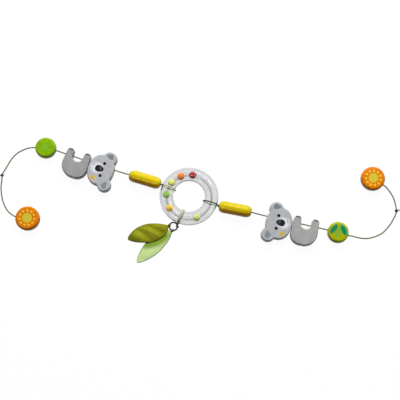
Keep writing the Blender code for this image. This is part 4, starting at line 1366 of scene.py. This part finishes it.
def body_borders():
    """The U's outline in four borders: outside, right tip, inside and left tip.

    They meet in the middle of the arcs that round the tips.
    """
    wide, deep, tip, gap = BODY_HALF_WIDTH, BODY_DEPTH, ARM_REACH, ARM_GAP_HALF
    corners = [
        (-wide + ARM_TAPER, tip, ARM_OUTER_ROUND),
        (-wide, -deep, BACK_ROUND_BY_HEAD),
        (wide, -deep, BACK_ROUND_BY_DISC),
        (wide - ARM_TAPER, tip, ARM_OUTER_ROUND),
        (gap + ARM_GAP_FLARE, tip, ARM_INNER_ROUND),
        (gap, -ARM_GAP_DEPTH, gap),
        (-gap, -ARM_GAP_DEPTH, gap),
        (-gap - ARM_GAP_FLARE, tip, ARM_INNER_ROUND),
    ]
    points = [np.array(corner[:2]) for corner in corners]
    arcs = [
        corner_arc(points[i - 1], points[i], points[(i + 1) % 8], corners[i][2])
        for i in range(8)
    ]
    half = CORNER_STEPS // 2
    halves = [(bow[: half + 1], bow[half:]) for bow in arcs]
    outside = np.vstack([halves[0][1], arcs[1], arcs[2], halves[3][0]])
    right_tip = np.vstack([halves[3][1], halves[4][0]])
    inside = np.vstack([halves[4][1], arcs[5], arcs[6], halves[7][0]])
    left_tip = np.vstack([halves[7][1], halves[0][0]])
    counts = (SIDE_POINTS, TIP_POINTS) * 2
    return [spaced(*pair) for pair in zip((outside, right_tip, inside, left_tip), counts)]


def sawn_u(place, turn, mirror):
    """Rim and two stretched faces of the U."""
    borders = body_borders()
    outline = np.vstack([border[:-1] for border in borders])
    rim = rim_rows(outline, FIGURE_EDGE_ROUND)
    starts = np.cumsum([0] + [len(border) - 1 for border in borders])
    faces = []
    for row in (rim[0], rim[-1]):
        ring = np.vstack([row, row[:1]])
        outside, right_tip, inside, left_tip = (
            ring[a : b + 1] for a, b in zip(starts, starts[1:])
        )
        face = stretched_face(outside, inside[::-1], left_tip[::-1], right_tip)
        faces.append(grid(laid(face, place, turn, mirror), wrap_columns=False))
    return [grid(laid(rim, place, turn, mirror)), *faces]


# %% Saw and print the bodies
BODY_DRILL = (-0.018, 0.018)
BODY_TONES = {"left": (157, 157, 157), "right": (169, 169, 168)}
BODY_COAT = {"roughness": 0.42, "cloud": 0.07}
PAWS = [
    ((78, 78, 80), {"centre": (x, 8.2), "size": (4.4, 2.6), "edge": 0.3}) for x in (-10.6, 10.6)
]

for name, side in SIDES.items():
    where = at(side["body"], FLAT_HEIGHT), side["chain_heading"]
    mirror, lacquered = side["mirror"], name + "_body_lacquer"
    paint, coat = lacquer(lacquered, BODY_TONES[name], *where, mirror, **BODY_COAT)
    printed(coat, *PAWS)
    boards = sawn_u(*where, mirror)
    body = piece(name + "_sawn_body", boards, paint, "grey_lacquer", name + "_koala_body")
    bored(body, *where, *BODY_DRILL)

# %% [markdown]
# ## Discs
#
# The four discs are slices of a dowel with well rounded edges, drilled across. The orange
# ones are printed with a sun. The green ones carry leaves on one side of the toy and a
# small blossom on the other.

# %% Orange discs
DISC_EDGE_ROUND = 0.0026
DISC_POINTS = 160
DISC_COAT = {"roughness": 0.26, "gloss": 0.15}
ORANGE_TONE = (226, 126, 6)
SUN = ((213, 194, 56), {"centre": (0, 0), "size": (5.7, 5.7), "edge": 0.06})
SUN_RAY_INK = (244, 190, 64)
SUN_RAYS = {"count": 11, "radius": 8.6, "size": 1.5}
END_DRILL = 0.016
KNOT_SEAT_DEPTH = 0.0040
KNOT_SEAT_RADIUS = 0.0023


def disc_board(radius, offset, place, turn, mirror):
    """A round outline beside the bore by the offset, sawn as the other flat pieces."""
    outline = arc((0, offset), radius, 0, 360, DISC_POINTS)[:-1]
    return sawn_round(outline, DISC_EDGE_ROUND, (0, offset), place, turn, mirror)


def sun_disc(name, side):
    """The orange disc at the tail's end, with a wider seat for the knot in its far mouth."""
    where = at(side["end_disc"], FLAT_HEIGHT), side["end_heading"]
    paint, coat = lacquer(name + "_orange_lacquer", ORANGE_TONE, *where, **DISC_COAT)
    printed(coat, (SUN_RAY_INK, petals(coat[0], coat[2], **SUN_RAYS)), SUN)
    board = disc_board(END_DISC_RADIUS, 0, *where, 1)
    disc = piece(name + "_sun_disc", [board], paint, "orange_lacquer", name + "_end_disc")
    seat = END_DRILL - END_DISC_RADIUS + KNOT_SEAT_DEPTH, KNOT_SEAT_RADIUS
    bored(disc, *where, -END_DRILL, END_DRILL, seat)
    return disc


print("orange discs:", round(2 * END_DISC_RADIUS / MM, 1), "mm across")

# %% Green discs
GREEN_DRILL = 0.014
GREEN_TONES = {"left": (134, 178, 14), "right": (172, 178, 4)}
LEFT_OFFSET_MM = SIDES["left"]["disc_offset"] / MM
STEM = {"centre": (-0.3, -1.2), "size": (1.6, 6.8), "turn": -3, "edge": 0.25}
LEAF_BY_HEAD = {"centre": (-6.0, 1.9), "turn": -26}
LEAF_BY_TAIL = {"centre": (5.4, 3.3), "turn": 36}
RIM = {"size": (3.2, 6.9), "edge": 0.10}
FILL = {"size": (2.6, 6.1), "edge": 0.12}
BLOSSOM = {"size": (4.4, 4.4), "edge": 0.25, "lobes": 5, "depth": 0.22}
GREEN_PRINTS = {
    "left": (
        ((120, 180, 40), {"centre": (0, LEFT_OFFSET_MM), **BLOSSOM}),
        ((140, 188, 60), {"centre": (0, LEFT_OFFSET_MM), "size": (1.2, 1.2), "edge": 0.3}),
    ),
    "right": (
        ((118, 178, 74), STEM),
        ((112, 168, 92), {**LEAF_BY_HEAD, **RIM}),
        ((112, 168, 92), {**LEAF_BY_TAIL, **RIM}),
        ((40, 136, 78), {**LEAF_BY_HEAD, **FILL}),
        ((8, 146, 88), {**LEAF_BY_TAIL, **FILL}),
    ),
}


def green_disc(name, side):
    """The green disc at the end of the strung cord, its bore a little beside its middle."""
    where = at(side["green_disc"], FLAT_HEIGHT), side["disc_heading"]
    mirror, lacquered = side["mirror"], name + "_green_lacquer"
    paint, coat = lacquer(lacquered, GREEN_TONES[name], *where, mirror, **DISC_COAT)
    printed(coat, *GREEN_PRINTS[name])
    board = disc_board(GREEN_DISC_RADIUS, side["disc_offset"], *where, mirror)
    disc = piece(name + "_green_disc", [board], paint, "green_lacquer", name + "_leaf_disc")
    bored(disc, *where, -GREEN_DRILL, GREEN_DRILL)


for name, side in SIDES.items():
    tail_pieces[name].append(sun_disc(name, side))
    green_disc(name, side)

# %% [markdown]
# ## Leaf hanger
#
# A flat pale tape goes round the ring's tube and is gathered into a knot underneath, so it
# is a loop like the others whose circles are stretched, widest in its middle. A short loop
# of dark cord runs through that knot and through both leaf stems.

# %% Hang the small cord ring
HANGER_KNOT = (-0.02744, -0.03154)
HANGER_KNOT_HEADING = 68.4
LEAF_RING_MIDDLE = (-0.03214, -0.03154)
LEAF_RING_RADIUS = 0.0047
LEAF_RING_CORD_RADIUS = 0.0009
TAPE_THICKNESS = 0.9 * MM
TAPE_WIDTH, TAPE_WIDTH_AT_KNOT = 3.3 * MM, 1.5 * MM
TAPE_SIDES, LEAF_RING_STEPS = 20, 60

path = loop_path(**LOOPS["hanger"])
share = np.linspace(-1, 1, len(path))
width = TAPE_WIDTH + (TAPE_WIDTH_AT_KNOT - TAPE_WIDTH) * share**4
sideways = direction(LOOPS["hanger"]["angle"] + 90)
flat = width / TAPE_THICKNESS
tape = tube(path, TAPE_THICKNESS / 2, upright=sideways, flat=flat, sides=TAPE_SIDES)
piece("pale_hanger_tape", [tape], pale_cord_paint, "pale_cord", "hanger_loop")
place = at(HANGER_KNOT, LEAF_HEIGHT)
knot("gathered_knot", "hanger_knot", "large", place, HANGER_KNOT_HEADING)
angle = np.linspace(0, math.tau, LEAF_RING_STEPS, endpoint=False)
circle = LEAF_RING_RADIUS * np.stack([np.cos(angle), np.sin(angle), 0 * angle], 1)
ring_path = at(LEAF_RING_MIDDLE, LEAF_HEIGHT) + circle
small_ring = tube(ring_path, LEAF_RING_CORD_RADIUS, closed=True)
piece("small_cord_ring", [small_ring], dark_cord_paint, "dark_cord", "leaf_cord_ring")

# %% [markdown]
# ## Cloth leaves
#
# Both leaves are sewn from two layers of cloth and turned right side out. The olive one is a
# dense cotton with a thin wadding that pulls into slanting folds; the pale one is a sheer
# fabric that lets the table through. A line of stitches follows the edge of each. A leaf is
# two height fields over the same outline, joined along the edge.

# %% How high each cloth lies
LEAF_HEM = 0.0009
LEAF_SPACING = 0.0004
LIGHT_FULLNESS = 0.0003
LIGHT_WAVE = 0.00012
LIGHT_WAVE_ALONG, LIGHT_WAVE_ACROSS = 19, 3
LIGHT_TOP = TABLE_GAP + LEAF_HEM + LIGHT_FULLNESS
OLIVE_LIFT_SHARE = 0.07
OLIVE_DROOP, OLIVE_DROOP_SHARE = 0.0015, 0.28
OLIVE_CROWN = 0.0016
OLIVE_FOLD = 0.0008
STEM_CALM, TIP_CALM, EDGE_CALM = 0.15, 0.20, 0.65
RIPPLE_SHARE, RIPPLE_PITCH, RIPPLE_REACH = 0.06, 4.5, 3
FOLDS = [
    {"place": 0.13, "slant": 0.12, "width": 0.09, "height": -0.8},
    {"place": 0.295, "slant": -0.20, "width": 0.085, "height": -1.2},
    {"place": 0.45, "slant": -0.22, "width": 0.09, "height": 0.9},
    {"place": 0.61, "slant": -0.15, "width": 0.08, "height": -1.3},
    {"place": 0.79, "slant": -0.15, "width": 0.11, "height": 0.8},
]


def smooth_step(value):
    """Rise smoothly from 0 to 1: v v (3 - 2 v)."""
    value = np.clip(value, 0, 1)
    return value * value * (3 - 2 * value)


def olive_under(share):
    """Off the eyelet, over the pale leaf, and drooping at the tip."""
    rest = LIGHT_TOP + LEAF_SPACING - LEAF_HEIGHT
    lift = -LEAF_HEM / 2 + (rest + LEAF_HEM / 2) * smooth_step(share / OLIVE_LIFT_SHARE)
    return lift - OLIVE_DROOP * smooth_step(1 - (1 - share) / OLIVE_DROOP_SHARE)


def olive_fold(share, side, place, slant, width, height):
    """A slanting ridge or furrow, bell-shaped, with faint ripples where the cloth puckers."""
    away = (share - place - slant * side) / width
    ripples = np.cos(RIPPLE_PITCH * away) * np.exp(-(away**2) / RIPPLE_REACH)
    return height * (np.exp(-(away**2)) + RIPPLE_SHARE * ripples)


def olive_over(share, side, inner):
    """The crown plus all the folds, both calmer towards the stem, the tip and the edges."""
    within = smooth_step(share / STEM_CALM) * smooth_step((1 - share) / TIP_CALM)
    folds = sum(olive_fold(share, side, **fold) for fold in FOLDS)
    across = 1 - EDGE_CALM + EDGE_CALM * inner
    relief = OLIVE_CROWN * inner + OLIVE_FOLD * folds * across
    return olive_under(share) + LEAF_HEM + within * relief


def light_under(share):
    """Flat on the table."""
    return 0 * share - LEAF_HEIGHT + TABLE_GAP


def light_over(share, side, inner):
    """Barely fuller along the middle, with a few shallow waves."""
    wave = np.sin(LIGHT_WAVE_ALONG * share + LIGHT_WAVE_ACROSS * side)
    fuller = light_under(share) + LEAF_HEM + LIGHT_FULLNESS * inner
    return fuller + LIGHT_WAVE * wave * inner


print("folds in the olive leaf:", len(FOLDS))

# %% [markdown]
# ## Cloth
#
# A weave is threads that cross. Two waves at right angles give it, noise makes the yarn
# uneven, and larger noise is how the dye took. The cloth is folded over double at the edge,
# so a darker hem follows it there: the surface's lay says how far off the edge is.

# %% Olive cotton and sheer green
YARN_SIZE = 0.8 * MM
DYE_SIZE = 7 * MM
WEAVE_RELIEF = 0.08 * MM
WEAVE_STRENGTH = 0.5
CLOTH_COAT = {"roughness": 0.85, "Sheen_Weight": 0.06, "Specular_IOR_Level": 0.2}
DYE_FADE = (0.6, 1.35)
FULL_HEM_SHARE = 0.4
OLIVE_CLOTH = {
    "colour": (160, 160, 34),
    "shade": (138, 142, 16),
    "thread_mm": 0.45,
    "weave": 0.12,
    "hem_tone": (112, 118, 8),
    "hem_mm": 0.6,
}
# Painted shade: the olive cloth is painted darker where it lies low, in its creases and at its
# edges.
OLIVE_PAINTED_CREASE_SHADE = {"ink": (120, 126, 8), "from": 3.8 * MM, "to": 1.9 * MM}
SHEER_CLOTH = {
    "colour": (212, 236, 164),
    "shade": (196, 222, 142),
    "thread_mm": 0.6,
    "weave": 0.15,
    "hem_tone": (116, 136, 88),
    "hem_mm": 1.1,
}
# Painted shadow: a deep green band where the olive leaf's shadow falls on the pale leaf.
OLIVE_LEAF_PAINTED_SHADOW = ((136, 166, 56), {"centre": (23.0, 9.8), "size": (20.5, 8.6), "edge": 0.28})


def cloth(name, colour, shade, thread_mm, weave, hem_tone, hem_mm):
    """Woven cloth: the material, its coat, and its hem as a layer to print.

    Warp and weft are the sines of X and Y over the thread's width; the weave is their
    product. The hem fades in over the outer part of its width.
    """
    material, tree, shader = ground(name, colour, **CLOTH_COAT)
    place = toy_place(tree)
    parts = apart(tree, place)
    pitch = math.tau / (thread_mm * MM)
    warp, weft = (sums(tree, "SINE", sums(tree, "MULTIPLY", parts[key], pitch)) for key in "XY")
    woven = sums(tree, "MULTIPLY", warp, weft)
    yarn = noise(tree, place, YARN_SIZE, detail=4)
    dye = noise(tree, place, DYE_SIZE, detail=3)
    patches = sums(tree, "ADD", yarn, dye)
    level = sums(tree, "ADD", sums(tree, "MULTIPLY", woven, weave), patches)
    shown = over(tree, tone(*shade), tone(*colour), fade(tree, level, *DYE_FADE))
    at_hem = fade(tree, lay_place(tree)["Y"], hem_mm, FULL_HEM_SHARE * hem_mm)
    threads = sums(tree, "ADD", woven, yarn)
    feed(tree, shader, Normal=raised(tree, threads, WEAVE_RELIEF, WEAVE_STRENGTH))
    return material, (tree, shader, place, shown), (hem_tone, at_hem)


def olive_cotton():
    """The olive cloth with painted shade: darker where the cloth lies low, in the creases and
    at the edges, and paler on the crests.
    """
    material, coat, hem = cloth("olive_cotton", **OLIVE_CLOTH)
    height = apart(coat[0], coat[2])["Z"]
    # Painted shade: the lower the cloth lies, the darker it is painted.
    deep = fade(coat[0], height, OLIVE_PAINTED_CREASE_SHADE["from"], OLIVE_PAINTED_CREASE_SHADE["to"])
    printed(coat, (OLIVE_PAINTED_CREASE_SHADE["ink"], deep), hem)
    return material


def sheer_green_cloth():
    """The pale cloth, with a painted shadow of the olive leaf: a deep green band beside the
    olive leaf's lower edge.
    """
    material, coat, hem = cloth("sheer_green_cloth", **SHEER_CLOTH)
    tree, shader, _, shown = coat
    olive = LEAVES["olive_leaf"]
    beside = own_place(tree, at(olive["place"], LEAF_HEIGHT), olive["heading"])
    # Painted shadow of the olive leaf on the pale cloth.
    printed((tree, shader, beside, shown), OLIVE_LEAF_PAINTED_SHADOW, hem)
    return material


# %% [markdown]
# ## Sewing
#
# A leaf is wide in its middle and narrows to a neck at the eyelet. Its outline is a power of
# a sine, pushed towards one end, and its two halves differ, because they were cut by hand.

# %% Surface of a leaf
BLADE_START = 0.0014
BLADE_TIP = 0.0004
NECK_HALF_WIDTH = 0.0011
NECK_LENGTH = 0.0035
LEAF_FULLNESS = 0.66
LEAF_ROWS, LEAF_COLUMNS = 200, 90
HEM_ROUND = 1.0 * MM
SEAM_FROM_EDGE = 1.3 * MM
SEAM_WIDTH = 0.35 * MM
SEAM_DEPTH = 0.16 * MM
STITCH_LENGTH = 1.9 * MM
STITCH_PULL = 0.45
MIDDLE_SHARE = 0.35


def joined_layers(top, bottom, x, edge):
    """Both layers as one closed grid, whose lay keeps the distance from the edge."""
    wrapped = np.concatenate([top, bottom[:, ::-1]], 1)
    ends = [np.broadcast_to(row.mean(0), (1, *row.shape)) for row in (wrapped[0], wrapped[-1])]
    points = np.concatenate([ends[0], wrapped, ends[1]])
    along = np.concatenate([x[:1, 0], x[:, 0], x[-1:, 0]])
    from_edge = np.concatenate([edge, edge[:, ::-1], edge[:, :1]], 1) / MM
    from_edge = np.concatenate([from_edge[:1], from_edge, from_edge[-1:]])
    return grid(points, along=along, around=from_edge)


def leaf_grids(leaf):
    """Two height fields over the leaf's outline, and the outline's area.

    The half width at a share of the length is a power of a sine, skewed towards one end and
    different on each side of the midrib. Columns crowd towards the edges, where the hem
    rounds off. The seam is a groove at an even distance from the edge, deeper at each
    stitch.
    """
    length = leaf["length"]
    x = np.linspace(BLADE_START, length - BLADE_TIP, LEAF_ROWS)[:, None]
    share = (x - BLADE_START) / (length - BLADE_START)
    side = np.sin(np.linspace(-math.pi / 2, math.pi / 2, LEAF_COLUMNS))[None, :]
    halves = [
        width * np.sin(math.pi * share**skew) ** LEAF_FULLNESS
        for width, skew in zip(leaf["half_widths"], leaf["skews"])
    ]
    neck = NECK_HALF_WIDTH * (1 - smooth_step((x - BLADE_START) / NECK_LENGTH))
    half = np.maximum(np.where(side > 0, halves[1], halves[0]), neck)
    y = half * side
    edge = np.minimum(half * (1 - np.abs(side)), length - x)
    rounding = np.sqrt(np.clip(1 - (1 - np.clip(edge / HEM_ROUND, 0, 1)) ** 2, 0, 1))
    stitch = 1 - STITCH_PULL + STITCH_PULL * np.cos(math.tau * x / STITCH_LENGTH)
    seam = SEAM_DEPTH * stitch * np.exp(-(((edge - SEAM_FROM_EDGE) / SEAM_WIDTH) ** 2))
    under, over_top = leaf["under"](share), leaf["over"](share, side, 1 - side**2)
    middle = under + LEAF_HEM * MIDDLE_SHARE
    top = middle + (over_top - middle) * rounding - seam * leaf["seam"]
    bottom = middle + (under - middle) * rounding
    place, turn = at(leaf["place"], LEAF_HEIGHT), leaf["heading"]
    layers = [
        laid(np.stack(np.broadcast_arrays(x, y, z), 2), place, turn) for z in (top, bottom)
    ]
    area = float(np.sum(halves[0] + halves[1]) * (x[1, 0] - x[0, 0]))
    return joined_layers(*layers, x, edge), area


# %% Sew the leaves
EYELET_BORE, EYELET_RADIUS, EYELET_LENGTH = 0.00125, 0.00185, 0.0028
EYELET_CROWN = 0.25 * MM
EYELET_STEPS, EYELET_SIDES = 9, 36
LEAVES = {
    "olive_leaf": {
        "name": "olive_sewn_leaf",
        "length": 0.0509,
        "half_widths": (0.0100, 0.0122),
        "skews": (1.18, 0.80),
        "place": (-0.03663, -0.03016),
        "heading": 198.3,
        "stem_angle": 163.0,
        "under": olive_under,
        "over": olive_over,
        "seam": 1.0,
        "paint": olive_cotton,
        "slot": "olive_cloth",
        "rests_on": ["pale_sewn_leaf", "table"],
    },
    "light_leaf": {
        "name": "pale_sewn_leaf",
        "length": 0.0552,
        "half_widths": (0.0112, 0.0080),
        "skews": (0.83, 0.98),
        "place": (-0.03295, -0.03617),
        "heading": 222.6,
        "stem_angle": 260.0,
        "under": light_under,
        "over": light_over,
        "seam": 0.6,
        "paint": sheer_green_cloth,
        "slot": "pale_green_cloth",
        "rests_on": ["table"],
    },
}


def eyelet(place, turn):
    """A short sewn tube: its outside is a parabola, crowned in the middle."""
    bend = np.linspace(-1, 1, EYELET_STEPS)
    half = EYELET_LENGTH / 2
    outside = np.stack([half * bend, EYELET_RADIUS - EYELET_CROWN * bend**2], 1)
    section = np.vstack([outside, [[half, EYELET_BORE], [-half, EYELET_BORE]]])
    return grid(laid(revolve(section, EYELET_SIDES), place, turn), wrap_rows=True)


for node, leaf in LEAVES.items():
    paint, slot = leaf["paint"](), leaf["slot"]
    surface, area = leaf_grids(leaf)
    made = piece(leaf["name"], [surface], paint, slot, node)
    stem = eyelet(at(leaf["place"], LEAF_HEIGHT), leaf["stem_angle"] + 90)
    sewn = piece(leaf["name"] + "_eyelet", [stem], paint, slot, body=body_of[node])
    print(node, "flat area:", round(area / MM**2), "mm2")
